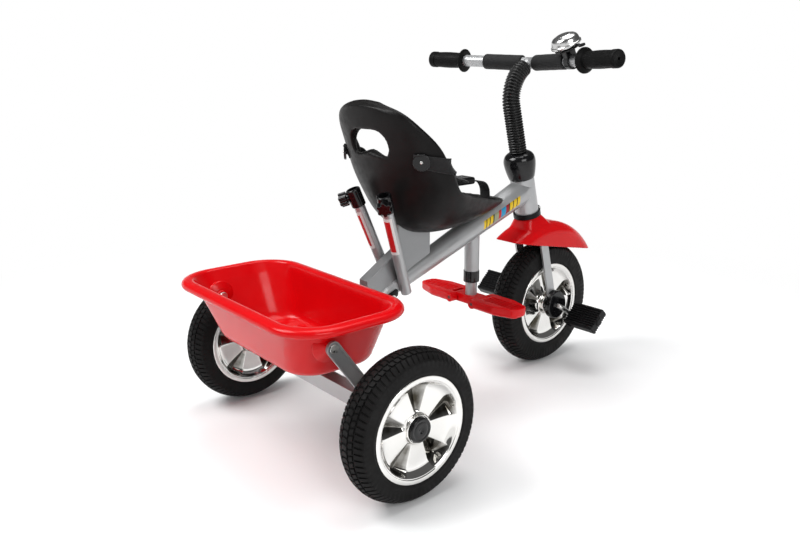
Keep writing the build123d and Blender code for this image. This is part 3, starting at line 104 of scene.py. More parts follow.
def make_camera():
    reach = cos(LOOK_PITCH)
    forward = Vector((reach * cos(LOOK_YAW), reach * sin(LOOK_YAW), sin(LOOK_PITCH)))
    level = forward.cross(Vector((0, 0, 1))).normalized()
    upright = level.cross(forward)
    right = level * cos(LOOK_ROLL) + upright * sin(LOOK_ROLL)
    up = upright * cos(LOOK_ROLL) - level * sin(LOOK_ROLL)
    data = bpy.data.cameras.new("camera")
    data.sensor_width = SENSOR
    data.lens = FOCAL
    data.clip_start = NEAR_CLIP
    camera = link("camera", data)
    turn = Matrix((right, up, -forward)).transposed().to_4x4()
    camera.matrix_world = Matrix.Translation(CAMERA_PLACE) @ turn
    bpy.context.scene.camera = camera
    bpy.context.scene.view_settings.view_transform = "Standard"


make_camera()


# Materials
# Sockets of a mix of colours: its share, the two colours, and what comes out
MIX_SHARE, MIX_FIRST, MIX_SECOND = 0, 6, 7
MIX_RESULT = 2


class Surface:
    """A principled material, with helpers that add its procedural detail."""

    def __init__(self, name, colour, rough, metallic=0.0, specular=0.5, coordinates="Object"):
        self.material = bpy.data.materials.new(name)
        self.material.use_nodes = True
        self.tree = self.material.node_tree
        self.shader = self.tree.nodes["Principled BSDF"]
        self.colour = (*colour, 1.0)
        self.set(Base_Color=self.colour, Roughness=rough, Metallic=metallic)
        self.set(Specular_IOR_Level=specular)
        self.place = self.node("ShaderNodeTexCoord").outputs[coordinates]
        self.normal = None

    def node(self, kind, **values):
        return add_node(self.tree, kind, **values)

    def math(self, operation, *values):
        return add_math(self.tree, operation, *values)

    def noise(self, scale, detail=2.0):
        new = self.node("ShaderNodeTexNoise", Vector=self.place, Scale=scale, Detail=detail)
        return new.outputs["Fac"]

    def spread(self, value, low, high, start=0.35, end=0.65):
        ends = {"From_Min": start, "From_Max": end, "To_Min": low, "To_Max": high}
        return self.node("ShaderNodeMapRange", Value=value, **ends).outputs[0]

    def tint(self, value, other):
        """Mixes the colour so far towards another one by a value."""
        mix = self.node("ShaderNodeMix", data_type="RGBA")
        base = self.shader.inputs["Base Color"]
        before = base.links[0].from_socket if base.is_linked else self.colour
        after = other if isinstance(other, bpy.types.NodeSocket) else (*other, 1.0)
        put(mix.inputs[MIX_SHARE], value)
        put(mix.inputs[MIX_FIRST], before)
        put(mix.inputs[MIX_SECOND], after)
        put(base, mix.outputs[MIX_RESULT])

    def drift(self, scale, share, other):
        """Slow changes of colour over the surface."""
        self.tint(self.spread(self.noise(scale, 4.0), 0.0, share), other)

    def wander(self, scale, low, high):
        """Slow changes of roughness over the surface."""
        put(self.shader.inputs["Roughness"], self.spread(self.noise(scale, 5.0), low, high))

    def relief(self, height, strength, distance):
        """Adds one layer of bump."""
        bump = self.node("ShaderNodeBump", Height=height, Strength=strength, Distance=distance)
        if self.normal:
            put(bump.inputs["Normal"], self.normal)
        self.normal = bump.outputs[0]
        put(self.shader.inputs["Normal"], self.normal)

    def set(self, **values):
        """Gives the shader's own inputs values by name."""
        for key, value in values.items():
            put(self.shader.inputs[key.replace("_", " ")], value)


def red_plastic():
    s = Surface("red_plastic", (0.6, 0.002, 0.004), 0.2, specular=0.24)
    s.drift(9.0, 0.4, (0.5, 0.001, 0.003))
    s.wander(60.0, 0.16, 0.25)
    s.relief(s.noise(35.0, 1.0), 0.06, 0.004)
    s.relief(s.noise(1400.0), 0.03, 0.0004)
    return s.material


def plastic(name, colour, rough, grain, depth, specular):
    s = Surface(name, colour, rough, specular=specular)
    s.drift(30.0, 0.6, tuple(c * 1.5 for c in colour))
    s.wander(90.0, rough - 0.06, rough + 0.08)
    s.relief(s.noise(grain, 3.0), depth, 0.0004)
    return s.material


def rubber(name, colour, rough, grain, depth, specular):
    s = Surface(name, colour, rough, specular=specular)
    s.drift(22.0, 0.6, tuple(c * 1.8 for c in colour))
    s.tint(s.spread(s.noise(260.0, 6.0), 0.0, 0.4, 0.55, 0.8), tuple(c * 2.6 for c in colour))
    s.wander(70.0, rough - 0.1, rough + 0.1)
    s.relief(s.noise(grain, 4.0), depth, 0.0006)
    return s.material


def paint(name, colour, rough):
    """Metallic paint with fine flakes under a clear coat."""
    s = Surface(name, colour, rough, metallic=0.6)
    flake = s.node("ShaderNodeTexVoronoi", Vector=s.place, Scale=3200.0).outputs["Color"]
    grey = s.node("ShaderNodeRGBToBW", Color=flake).outputs[0]
    s.tint(s.spread(grey, 0.0, 0.25, 0.2, 0.9), tuple(min(1.0, c * 1.3) for c in colour))
    s.drift(14.0, 0.25, tuple(c * 0.8 for c in colour))
    s.wander(50.0, rough - 0.06, rough + 0.08)
    s.relief(s.noise(320.0), 0.04, 0.0006)
    s.set(Coat_Weight=0.25, Coat_Roughness=0.15)
    return s


FRAME_COLOUR = (0.4, 0.405, 0.41)
FRAME_ROUGHNESS = 0.36
# The main tube's decal: where the tube starts and which way it runs, and the decal's ends along it
TUBE_START = Vector((-117.5, 0, 231.0))
TUBE_WAY = Vector((349.7, 0, 138.1)).normalized()
DECAL_ENDS = (236.0, 338.0)
DECAL_HALF = 7.5
DECAL_SLANT = 0.45
YELLOW = (0.75, 0.5, 0.01)
INK = (0.012, 0.012, 0.012)
OLIVE = (0.3, 0.32, 0.2)
SCARLET = (0.5, 0.02, 0.02)
BLUE = (0.02, 0.28, 0.5)
CRIMSON = (0.3, 0.008, 0.01)
# Bars along the decal: where each starts, as a share of its length, and its colour
DECAL_BARS = [
    (0.0, YELLOW), (0.06, INK), (0.085, YELLOW), (0.15, INK), (0.175, YELLOW), (0.25, INK),
    (0.28, OLIVE), (0.4, SCARLET), (0.47, BLUE), (0.6, CRIMSON),
    (0.68, INK), (0.71, YELLOW), (0.79, INK), (0.815, YELLOW), (0.9, INK), (0.925, YELLOW),
]


def decalled():
    """The frame's paint with slanted bars of colour on both sides of the tube."""
    s = paint("decal_paint", FRAME_COLOUR, FRAME_ROUGHNESS)
    parts = s.node("ShaderNodeSeparateXYZ", Vector=s.place)
    ahead = s.math("SUBTRACT", parts.outputs[0], TUBE_START.x * MM)
    above = s.math("SUBTRACT", parts.outputs[2], TUBE_START.z * MM)
    along = s.math("MULTIPLY_ADD", ahead, TUBE_WAY.x, s.math("MULTIPLY", above, TUBE_WAY.z))
    height = s.math("MULTIPLY_ADD", ahead, -TUBE_WAY.z, s.math("MULTIPLY", above, TUBE_WAY.x))
    slanted = s.math("MULTIPLY_ADD", height, -DECAL_SLANT, along)
    start, end = (place * MM for place in DECAL_ENDS)
    share = s.spread(slanted, 0.0, 1.0, start, end)
    bars = s.node("ShaderNodeValToRGB", Fac=share)
    bars.color_ramp.interpolation = "CONSTANT"
    stops = bars.color_ramp.elements
    for place, colour in DECAL_BARS[1:-1]:
        stops.new(place).color = (*colour, 1.0)
    stops[0].color = (*DECAL_BARS[0][1], 1.0)
    stops[-1].position = DECAL_BARS[-1][0]
    stops[-1].color = (*DECAL_BARS[-1][1], 1.0)
    inside = s.math("LESS_THAN", s.math("ABSOLUTE", height), DECAL_HALF * MM)
    inside = s.math("MULTIPLY", inside, s.math("LESS_THAN", slanted, end))
    inside = s.math("MULTIPLY", inside, s.math("GREATER_THAN", slanted, start))
    s.tint(inside, bars.outputs[0])
    return s.material


# Half of the label's red panel, across and along, as a share of the label
LABEL_PANEL = (0.3, 0.42)


def label():
    """A red label with a pale border, by its place across and along."""
    s = Surface("label", (0.55, 0.012, 0.015), 0.3, specular=0.3, coordinates="UV")
    parts = s.node("ShaderNodeSeparateXYZ", Vector=s.place)
    edges = []
    for output, edge in enumerate(LABEL_PANEL):
        away = s.math("ABSOLUTE", s.math("SUBTRACT", parts.outputs[output], 0.5))
        edges.append(s.math("GREATER_THAN", away, edge))
    s.tint(s.math("MAXIMUM", *edges), (0.7, 0.69, 0.68))
    s.wander(30.0, 0.24, 0.4)
    return s.material


def chrome(name, colour, rough):
    """Bright plating, with painted shade that darkens it towards the bottom of the rim's pockets.
    """
    s = Surface(name, colour, rough, metallic=1.0)
    s.drift(18.0, 0.3, (0.72, 0.71, 0.67))
    pocket_shade = s.node("ShaderNodeAttribute", attribute_name="pocket_shade").outputs["Fac"]
    streaks = s.spread(s.noise(60.0, 3.0), 0.75, 1.0)
    # Painted shade: darkens the plating towards the bottom of the pockets, with noise through it
    s.tint(s.math("MULTIPLY", pocket_shade, streaks), (0.06, 0.054, 0.04))
    s.wander(110.0, rough - 0.02, rough + 0.05)
    s.relief(s.noise(28.0), 0.02, 0.004)
    return s.material


def zinc():
    s = Surface("zinc", (0.62, 0.62, 0.6), 0.3, metallic=1.0)
    s.drift(40.0, 0.5, (0.48, 0.48, 0.47))
    s.wander(200.0, 0.22, 0.42)
    s.relief(s.noise(900.0, 3.0), 0.1, 0.0003)
    return s.material


def foam():
    s = Surface("foam", (0.007, 0.007, 0.0075), 0.6, specular=0.2)
    cells = s.node("ShaderNodeTexVoronoi", Vector=s.place, Scale=1100.0).outputs["Distance"]
    s.tint(s.spread(cells, 0.5, 0.0, 0.1, 0.6), (0.016, 0.016, 0.0165))
    s.relief(cells, 0.5, 0.0005)
    s.relief(s.noise(90.0), 0.15, 0.002)
    s.set(Sheen_Weight=0.06, Sheen_Roughness=0.5)
    return s.material


def cloth(name, colour, other, thread, depth):
    """Plain weave: two sets of threads that pass over and under each other."""
    s = Surface(name, colour, 0.85, specular=0.2, coordinates="UV")
    parts = s.node("ShaderNodeSeparateXYZ", Vector=s.place)
    waves = [s.math("SINE", s.math("MULTIPLY", parts.outputs[n], pi / thread)) for n in (0, 1)]
    weave = s.math("MULTIPLY", *waves)
    s.tint(s.spread(weave, 0.0, 0.8, -0.6, 0.6), other)
    s.tint(s.spread(s.noise(0.4, 4.0), 0.0, 0.3), tuple(c * 0.6 for c in colour))
    s.relief(weave, depth, 0.0006)
    s.set(Sheen_Weight=0.2, Sheen_Roughness=0.4)
    return s.material


RED = red_plastic()
BLACK = plastic(
    "black_plastic", (0.0045, 0.0045, 0.005), rough=0.32, grain=900.0, depth=0.2, specular=0.13
)
SEAT = plastic(
    "seat_plastic", (0.007, 0.0065, 0.0065), rough=0.36, grain=1200.0, depth=0.15, specular=0.11
)
GLOSS = plastic(
    "gloss_black", (0.004, 0.004, 0.0045), rough=0.14, grain=500.0, depth=0.04, specular=0.4
)
TYRE = rubber(
    "tyre_rubber", (0.006, 0.0057, 0.0057), rough=0.5, grain=1500.0, depth=0.3, specular=0.1
)
GRIP = rubber(
    "grip_rubber", (0.004, 0.004, 0.004), rough=0.45, grain=1300.0, depth=0.25, specular=0.08
)
BELLOWS = rubber(
    "bellows_rubber", (0.005, 0.005, 0.005), rough=0.28, grain=1100.0, depth=0.1, specular=0.35
)
SILVER = paint("silver_paint", FRAME_COLOUR, FRAME_ROUGHNESS).material
DECALLED = decalled()
LABEL = label()
STRAP = paint("strap_paint", (0.26, 0.265, 0.27), rough=0.4).material
CHROME = chrome("rim_chrome", (0.84, 0.83, 0.81), rough=0.06)
BELL = chrome("bell_chrome", (0.6, 0.6, 0.6), rough=0.22)
ZINC = zinc()
PIN_PAINT = paint("pin_paint", (0.1, 0.02, 0.02), rough=0.45).material
FOAM = foam()
WEBBING = cloth("webbing", (0.012, 0.012, 0.0125), (0.03, 0.03, 0.031), thread=0.9, depth=0.6)
PAD = cloth("pad_fabric", (0.55, 0.55, 0.55), (0.68, 0.68, 0.68), thread=0.8, depth=0.4)

SLOT_LOOKS = {
    "frame_paint": SILVER,
    "bracket_paint": STRAP,
    "zinc_steel": ZINC,
    "tyre_rubber": TYRE,
    "rim_plating": CHROME,
    "bell_chrome": BELL,
    "red_plastic": RED,
    "black_plastic": BLACK,
    "seat_plastic": SEAT,
    "grip_rubber": GRIP,
    "foam": FOAM,
    "bellows_rubber": BELLOWS,
    "webbing": WEBBING,
    "pad_fabric": PAD,
}
GLOSS_NODES = (
    "headset_cap", "hub_covers", "post_collar", "handle_clamps", "knob_left", "knob_right",
    "belt_plugs", "bell_base",
)
SLOT_OF = {entry["node"]: entry["material_slot"] for entry in frame["record"]["subparts"]}
BEHAVIOUR = frame["record"]["behaviour"]
BODY_OF = {node: body for body, nodes in BEHAVIOUR["bodies"].items() for node in nodes}
JOINTS = {joint["name"]: joint for joint in BEHAVIOUR["joints"]}


def look_of(node):
    if node == "main_tube":
        return DECALLED
    if node == "footrest_pins":
        return PIN_PAINT
    return GLOSS if node in GLOSS_NODES else SLOT_LOOKS[SLOT_OF[node]]


# Mesh helpers, in millimetres
def box(node):
    low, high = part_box(node)
    return Vector(low) / MM, Vector(high) / MM


def centre(node):
    low, high = box(node)
    return (low + high) / 2


def half_size(node):
    low, high = box(node)
    return (high - low) / 2


def turns(count):
    return [tau * n / count for n in range(count)]


def circle(place, side, other, radius, steps):
    return [place + (side * cos(a) + other * sin(a)) * radius for a in turns(steps)]


def ease(value, start, end):
    """Goes smoothly from 0 at start to 1 at end."""
    share = min(1.0, max(0.0, (value - start) / (end - start)))
    return share * share * (3 - 2 * share)


def blend_line(points, steps):
    """A smooth line through points, with some steps between each two."""
    points = [Vector(p) for p in points]
    line = []
    for n in range(len(points) - 1):
        a, b = points[max(n - 1, 0)], points[n]
        c, d = points[n + 1], points[min(n + 2, len(points) - 1)]
        for step in range(steps):
            t = step / steps
            bend = 2 * a - 5 * b + 4 * c - d
            twist = 3 * b - a - 3 * c + d
            line.append(b + (c - a) * (t / 2) + bend * (t * t / 2) + twist * (t**3 / 2))
    return line + [points[-1]]


def skin(rings, closed=False):
    """Faces between rings of points, with flat ends unless the rings close on themselves."""
    count = len(rings[0])
    points = [point for ring in rings for point in ring]
    faces = []
    for n in range(len(rings) if closed else len(rings) - 1):
        a, b = n * count, (n + 1) % len(rings) * count
        faces += [(a + j, a + (j + 1) % count, b + (j + 1) % count, b + j) for j in range(count)]
    if not closed:
        faces += [tuple(range(count)), tuple(range(len(points) - count, len(points)))]
    return points, faces


def join(*shells):
    points, faces = [], []
    for more_points, more_faces in shells:
        start = len(points)
        points += more_points
        faces += [tuple(start + n for n in face) for face in more_faces]
    return points, faces


def lathe(profile, place, axis, steps=64, closed=False, flute=None):
    """A turned shape from radii and heights about an axis. A flute changes the radius by angle."""
    axis = Vector(axis).normalized()
    side = axis.orthogonal().normalized()
    other = axis.cross(side)
    rings = []
    for radius, height in profile:
        ring = []
        for angle in turns(steps):
            reach = radius + (flute(angle, height) if flute else 0.0)
            out = side * cos(angle) + other * sin(angle)
            ring.append(Vector(place) + axis * height + out * reach)
        rings.append(ring)
    return skin(rings, closed)


def dress(piece, node, look=None):
    """Gives a piece the place and finish of the node that it stands for."""
    piece.data.materials.clear()
    piece.data.materials.append(look or look_of(node))
    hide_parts(node)
    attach(piece, BODY_OF[node])
    return piece


def to_mesh(name, shell, sharp=None):
    points, faces = shell
    mesh = bpy.data.meshes.new(name)
    mesh.from_pydata([Vector(p) * MM for p in points], [], faces)
    shape = bmesh.new()
    shape.from_mesh(mesh)
    bmesh.ops.recalc_face_normals(shape, faces=shape.faces)
    shape.to_mesh(mesh)
    shape.free()
    mesh.shade_smooth()
    if sharp:
        mesh.set_sharp_from_angle(angle=radians(sharp))
    return mesh


def stand_in(node, shell, sharp=None, look=None):
    """A modelled piece in place of a node."""
    return dress(link(f"{node}_piece", to_mesh(node, shell, sharp)), node, look)


def lay(piece, name, places):
    """Gives each vertex of a piece its place in the pattern of a finish."""
    layer = piece.data.uv_layers.new(name=name)
    for loop in piece.data.loops:
        layer.data[loop.index].uv = places[loop.vertex_index]


def applied(thing):
    """Makes what an object's modifiers give its own mesh."""
    shown = thing.evaluated_get(bpy.context.evaluated_depsgraph_get())
    mesh = bpy.data.meshes.new_from_object(shown)
    thing.modifiers.clear()
    thing.data = mesh
    mesh.shade_smooth()


def moulded(node, voxel, passes, extra=None):
    """A node's own shape, with the edges rounded as a moulding's are, and with a shell added."""
    thing = link(f"{node}_piece", NODES[node].data.copy())
    if extra:
        shape = bmesh.new()
        shape.from_mesh(thing.data)
        shape.from_mesh(to_mesh("extra", extra))
        shape.to_mesh(thing.data)
        shape.free()
    modify(thing, "REMESH", mode="VOXEL", voxel_size=voxel * MM)
    modify(thing, "SMOOTH", factor=0.5, iterations=passes)
    applied(thing)
    return dress(thing, node)


# Points nearer than this are one, faces up to the first angle are flat, edges from the second sharp
SAME_PLACE = 0.01
FLAT_ANGLE = radians(1.0)
EDGE_ANGLE = radians(32)


def soften(node, width):
    """A node's own shape, with its sharp edges rounded for the light."""
    thing = link(f"{node}_piece", NODES[node].data.copy())
    normals = thing.data.attributes.get("custom_normal")
    if normals:
        thing.data.attributes.remove(normals)
    thing.data.shade_smooth()
    modify(thing, "WELD", merge_threshold=SAME_PLACE * MM)
    modify(thing, "DECIMATE", decimate_type="DISSOLVE", angle_limit=FLAT_ANGLE)
    bevel = modify(thing, "BEVEL", limit_method="ANGLE", angle_limit=EDGE_ANGLE)
    bevel.width = width * MM
    bevel.segments = 2
    modify(thing, "WEIGHTED_NORMAL", keep_sharp=False)
    return dress(thing, node)


# Tyres
TREAD_PITCH = 10.0
TREAD_DEPTH = 2.2
TICK_DEPTH = 1.1
SHOULDER_DROP = 13.0
RIM_GROOVE = 24.0
# The tyre's inner edge: drop below the rim's edge, and gap to the rim's groove
INNER_DROP = 3.0
INNER_GAP = 0.2
# Along one pitch, the floor of a groove and then the top of a block
BLOCK_EDGES = (0.0, 0.19, 0.26, 0.93)
# Across the tread from its middle: place, whether a groove runs round there, and turn in pitches
TREAD_ROWS = [
    (0.0, 0, 0.0),
    (5.0, 0, 0.16),
    (5.5, 1, 0.22),
    (6.9, 1, 0.5),
    (7.4, 0, 0.58),
    (13.4, 0, 0.4),
    (13.9, 1, 0.36),
    (15.3, 1, 0.1),
    (15.8, 0, 0.0),
    (20.0, 0, 0.1),
    (23.6, 0, 0.2),
]
# Down the side: place in from the widest, drop below the crown, and share left of the pattern
SIDE_ROWS = [(0.9, 11.9, 1.0), (0.2, 13.4, 0.6), (0.1, 14.2, 0.0)]
# Down to the rim: place in from the widest, and height above the rim's edge
BEAD_ROWS = [(0.4, 9.0), (0.2, 6.2), (0.0, 5.2), (0.2, 3.6), (0.9, 1.4), (1.6, 0.2)]


def make_tyre(name):
    node = f"{name}_tyre"
    hub = centre(node)
    radius = half_size(node).z
    half = half_size(node).y
    lip = half_size(f"{name}_rim").z
    curve = (half**2 + SHOULDER_DROP**2) / (2 * SHOULDER_DROP)
    pitches = round(tau * radius / TREAD_PITCH)
    rows = []
    for across, groove, turn in TREAD_ROWS:
        lean = asin(across / curve)
        level = radius - curve * (1 - cos(lean))
        rows.append((across, level, sin(lean), cos(lean), groove * TREAD_DEPTH, TREAD_DEPTH, turn))
    last_turn = TREAD_ROWS[-1][2]
    for inset, drop, share in SIDE_ROWS:
        rows.append((half - inset, radius - drop, 1.0, 0.0, 0.0, TICK_DEPTH * share, last_turn))
    for inset, rise in BEAD_ROWS:
        rows.append((half - inset, lip + rise, 1.0, 0.0, 0.0, 0.0, last_turn))
    rows.append((RIM_GROOVE - INNER_GAP, lip - INNER_DROP, 1.0, 0.0, 0.0, 0.0, last_turn))
    rings = []
    for side in (-1, 1):
        for row in reversed(rows) if side < 0 else rows[1:]:
            across, level, out, up, groove, pattern, turn = row
            ring = []
            for n in range(pitches):
                for k, edge in enumerate(BLOCK_EDGES):
                    angle = tau * (n + edge + turn) / pitches
                    carve = max(groove, pattern if k < 2 else 0.0)
                    reach = level - up * carve
                    sideways = side * (across - out * carve)
                    ring.append(hub + Vector((cos(angle) * reach, sideways, sin(angle) * reach)))
            rings.append(ring)
    stand_in(node, skin(rings, closed=True), sharp=38)


# Rims
POCKETS = 5
# Across a pocket: place as a share of its half width, and share of its depth
POCKET_SHARES = (
    (-1.0, 0.0), (-0.95, 0.015), (-0.88, 0.1), (-0.5, 0.49), (-0.12, 0.87), (-0.03, 0.945),
    (0.03, 0.945), (0.12, 0.87), (0.5, 0.49), (0.88, 0.1), (0.95, 0.015), (1.0, 0.0),
)
PLATEAU_STEPS = 10
# Where pockets begin at the hub, where they end past their outer place, and limits of their spread
POCKET_ONSET = (22.0, 27.0)
POCKET_FADE = (-1.0, 6.0)
MAX_SPREAD = 0.6
LEAST_RADIUS = 20.0
# Pocket depth over which the painted shade comes in
PAINTED_SHADE_DEPTH = (0.5, 5.0)
# Share of a pocket's depth over which the plating goes over into painted shade
PAINTED_SHADE_SHARE = 0.18
WEB_HALF = 16.0
BORE = 9.0
# Under the tyre: how far the rim goes down from its edge, and in from its groove
WELL_DEPTH = 5.5
WELL_STEP = 0.1
# Place from the hub, half width and depth at a pocket's two ends, the outer place in from the lip
POCKET_INNER = (24.0, 4.5, 3.0)
POCKET_OUTER = (14.5, 20.0, 12.0)
# Round the hub: radius, and height from its end
HUB_ROWS = [
    (BORE, 0.0), (18.9, 0.0), (19.2, 1.2), (20.0, 2.0), (20.9, 2.0), (21.6, 1.2), (21.9, -0.4),
]
# Over the web: radius, and height above it
WEB_ROWS = [
    (22.4, 1.6), (23.4, 0.5), (25.0, 0.1), (27.0, 0), (31.0, 0), (37.0, 0), (44.0, 0), (51.0, 0.1),
]
# Up the dish and over the lip: radius in from the edge, and height in from the widest
DISH_ROWS = [
    (24.5, 10.2), (21.0, 9.8), (18.0, 9.0), (15.5, 7.6), (13.0, 5.6), (11.0, 3.6), (9.6, 2.2),
    (8.7, 1.7), (8.2, 1.5), (7.6, 1.5), (7.3, 1.0), (6.8, 0.4), (6.0, 0.2), (3.5, 0.2), (1.0, 0.2),
    (0.3, 0.5), (0.0, 1.2),
]


def make_rim(name):
    node = f"{name}_rim"
    hub = centre(node)
    lip = half_size(node).z
    half = half_size(node).y
    hub_end = half_size(f"{name}_bush").y
    rows = [(radius, hub_end + height) for radius, height in HUB_ROWS]
    rows += [(radius, WEB_HALF + rise) for radius, rise in WEB_ROWS]
    rows += [(lip - inset, half - drop) for inset, drop in DISH_ROWS]
    rows += [(lip, RIM_GROOVE), (lip - WELL_DEPTH, RIM_GROOVE - WELL_STEP)]
    inner_place, inner_width, inner_depth = POCKET_INNER
    outer_inset, outer_width, outer_depth = POCKET_OUTER
    outer_place = lip - outer_inset
    fade_start, fade_end = (outer_place + past for past in POCKET_FADE)
    rings, pocket_shades = [], []
    for side in (1, -1):
        for radius, height in rows if side > 0 else reversed(rows):
            share = min(1.0, max(0.0, (radius - inner_place) / (outer_place - inner_place)))
            width = inner_width + (outer_width - inner_width) * share
            depth = inner_depth + (outer_depth - inner_depth) * share
            depth *= ease(radius, *POCKET_ONSET) * (1 - ease(radius, fade_start, fade_end))
            spread = asin(min(MAX_SPREAD, width / max(radius, LEAST_RADIUS)))
            # Painted shade in the rim's pockets, kept per point for the plating to darken by
            painted_shade = ease(depth, *PAINTED_SHADE_DEPTH)
            gap = (tau / POCKETS - 2 * spread) / PLATEAU_STEPS
            ring = []
            for pocket in range(POCKETS):
                middle = pi / 2 + tau * pocket / POCKETS
                ring += [(middle + u * spread, height - depth * fall) for u, fall in POCKET_SHARES]
                pocket_shades += [painted_shade * ease(fall, 0.0, PAINTED_SHADE_SHARE) for _, fall in POCKET_SHARES]
                pocket_shades += [0.0] * (PLATEAU_STEPS - 1)
                edge = middle + spread
                ring += [(edge + gap * n, height) for n in range(1, PLATEAU_STEPS)]
            points = [Vector((cos(a) * radius, side * y, sin(a) * radius)) for a, y in ring]
            rings.append([hub + point for point in points])
    piece = stand_in(node, skin(rings, closed=True), sharp=60)
    layer = piece.data.attributes.new("pocket_shade", "FLOAT", "POINT")
    layer.data.foreach_set("value", pocket_shades)


# Hub cap: radius, and height from its foot
CAP_PROFILE = [
    (8.0, 0.0), (18.5, 0.0), (18.5, 5.2), (18.2, 6.3), (17.4, 7.1), (16.4, 7.4), (14.6, 7.4),
    (14.0, 6.9), (13.2, 6.7), (12.4, 6.9), (11.8, 7.3), (9.0, 7.5), (5.0, 7.5), (4.2, 7.1),
    (3.6, 6.4), (0.4, 6.3),
]


def make_cap(name, side):
    node = f"{name}_cap"
    foot = centre(node)
    foot.y -= side * half_size(node).y
    stand_in(node, lathe(CAP_PROFILE, foot, (0, side, 0)), sharp=50, look=GLOSS)


for wheel_name in ("rear_left", "rear_right", "front"):
    make_tyre(wheel_name)
    make_rim(wheel_name)
for side_name, way in SIDES.items():
    make_cap(f"rear_{side_name}", way)

# Stem and handlebar, as the steering axis carries them
STEER_AXIS = Vector(JOINTS["steer"]["axis"]).normalized()
STEER_AXIS *= 1 if STEER_AXIS.z > 0 else -1
FORWARD = Vector((STEER_AXIS.z, 0, -STEER_AXIS.x))
FRONT_AXLE = centre("front_tyre")
STEM_FOOT = 325.4
STEM_RISE = 89.0
STEM_BEND_RADIUS = 65.0
STEM_TURN = radians(84)
STEM_REACH = 5.0
STEM_LENGTH = STEM_RISE + STEM_BEND_RADIUS * STEM_TURN + STEM_REACH
BAR_SWEEP = 39.0
BAR_HALF_SPAN = 224.0
BAR_RISE = 8.0


def stem_line(distance):
    """Point and heading on the stem's centreline, from the top of the headset cap."""
    turned = min(max(distance - STEM_RISE, 0.0) / STEM_BEND_RADIUS, STEM_TURN)
    heading = STEER_AXIS * cos(turned) + FORWARD * sin(turned)
    point = FRONT_AXLE + STEER_AXIS * (STEM_FOOT + min(distance, STEM_RISE))
    point += STEM_BEND_RADIUS * (STEER_AXIS * sin(turned) + FORWARD * (1 - cos(turned)))
    beyond = max(distance - STEM_RISE - STEM_BEND_RADIUS * STEM_TURN, 0.0)
    return point + heading * beyond, heading


def stem_ring(distance, radius, steps=40):
    point, heading = stem_line(distance)
    side = Vector((0, 1, 0))
    other = heading.cross(side)
    return circle(point, side, other, radius, steps)


RIBS = 34
RIB_RADIUS = 17.0
VALLEY_RADIUS = 14.2
RIB_STEPS = 10
RIB_FULLNESS = 0.6
BELLOWS_BORE = 11.4
# Length of bare stem below the handlebar
BAR_CLEARANCE = 16.0
BELLOWS_LENGTH = STEM_LENGTH - BAR_CLEARANCE


def make_bellows():
    rings = []
    for n in range(RIBS * RIB_STEPS + 1):
        swell = (0.5 - 0.5 * cos(tau * n / RIB_STEPS)) ** RIB_FULLNESS
        distance = BELLOWS_LENGTH * n / (RIBS * RIB_STEPS)
        rings.append(stem_ring(distance, VALLEY_RADIUS + (RIB_RADIUS - VALLEY_RADIUS) * swell))
    rings += [stem_ring(BELLOWS_LENGTH * n / RIBS, BELLOWS_BORE) for n in range(RIBS, -1, -1)]
    stand_in("stem_bellows", skin(rings, closed=True))


make_bellows()

# Headset cap: radius, and height above the head tube
HEADSET_PROFILE = [
    (22.2, 0.0), (24.2, 0.0), (25.0, 0.8), (26.4, 6.0), (28.6, 15.0), (30.2, 24.0), (30.9, 31.0),
    (30.7, 37.0), (29.2, 42.6), (26.4, 47.0), (22.6, 50.0), (18.4, 51.6), (15.0, 52.0),
    (11.1, 52.0), (11.1, 43.0), (22.0, 40.0),
]
HEADSET_FOOT = 273.4
HEADSET_STEPS = 96


def make_headset():
    foot = FRONT_AXLE + STEER_AXIS * HEADSET_FOOT
    shell = lathe(HEADSET_PROFILE, foot, STEER_AXIS, HEADSET_STEPS, closed=True)
    stand_in("headset_cap", shell, sharp=50)


make_headset()

BAR_MIDDLE = stem_line(STEM_LENGTH)[0]
ARMS = {side: Vector((-BAR_SWEEP, side * BAR_HALF_SPAN, BAR_RISE)) for side in (1, -1)}
GRIP_START = 147.0
GRIP_BEYOND = 3.5
GRIP_LENGTH = hypot(BAR_SWEEP, BAR_HALF_SPAN, BAR_RISE) + GRIP_BEYOND - GRIP_START
# Radius, and distance from the start, share of the length, or distance from the end
GRIP_FLANGE = [
    (11.1, 0.0), (18.5, 0.0), (21.2, 0.7), (22.4, 2.0), (22.4, 3.6), (21.2, 5.2), (18.2, 6.6),
    (15.6, 8.2),
]
GRIP_BODY = [
    (14.4, 0.1), (14.5, 0.14), (15.1, 0.28), (15.5, 0.45), (15.4, 0.6), (14.9, 0.75), (14.6, 0.84),
]
GRIP_TAIL = [
    (15.5, 13.4), (15.6, 12.4), (15.6, 4.0), (15.2, 2.0), (14.0, 0.7), (12.6, 0.1), (11.8, 0.6),
    (4.0, 0.6), (2.6, 1.4), (2.4, 3.0), (10.9, 3.0),
]
GRIP_STEPS = 156
FLUTES = 26
FLUTE_DEPTH = 0.3
FLUTE_RUNOUT = 5


def make_grips():
    profile = list(GRIP_FLANGE)
    profile += [(radius, GRIP_LENGTH * share) for radius, share in GRIP_BODY]
    profile += [(radius, GRIP_LENGTH - back) for radius, back in GRIP_TAIL]
    start = GRIP_LENGTH * GRIP_BODY[0][1]
    end = GRIP_LENGTH * GRIP_BODY[-1][1]

    def flute(angle, height):
        inside = ease(height, start, start + FLUTE_RUNOUT)
        inside *= 1 - ease(height, end - FLUTE_RUNOUT, end)
        return -FLUTE_DEPTH * inside * max(0.0, cos(FLUTES * angle)) ** 2

    shells = []
    for arm in ARMS.values():
        way = arm.normalized()
        place = BAR_MIDDLE + way * GRIP_START
        shells.append(lathe(profile, place, way, GRIP_STEPS, closed=True, flute=flute))
    stand_in("grips", join(*shells), sharp=50)


FOAM_LENGTH = 84.0
FOAM_STARTS = {1: 14.0, -1: 20.0}
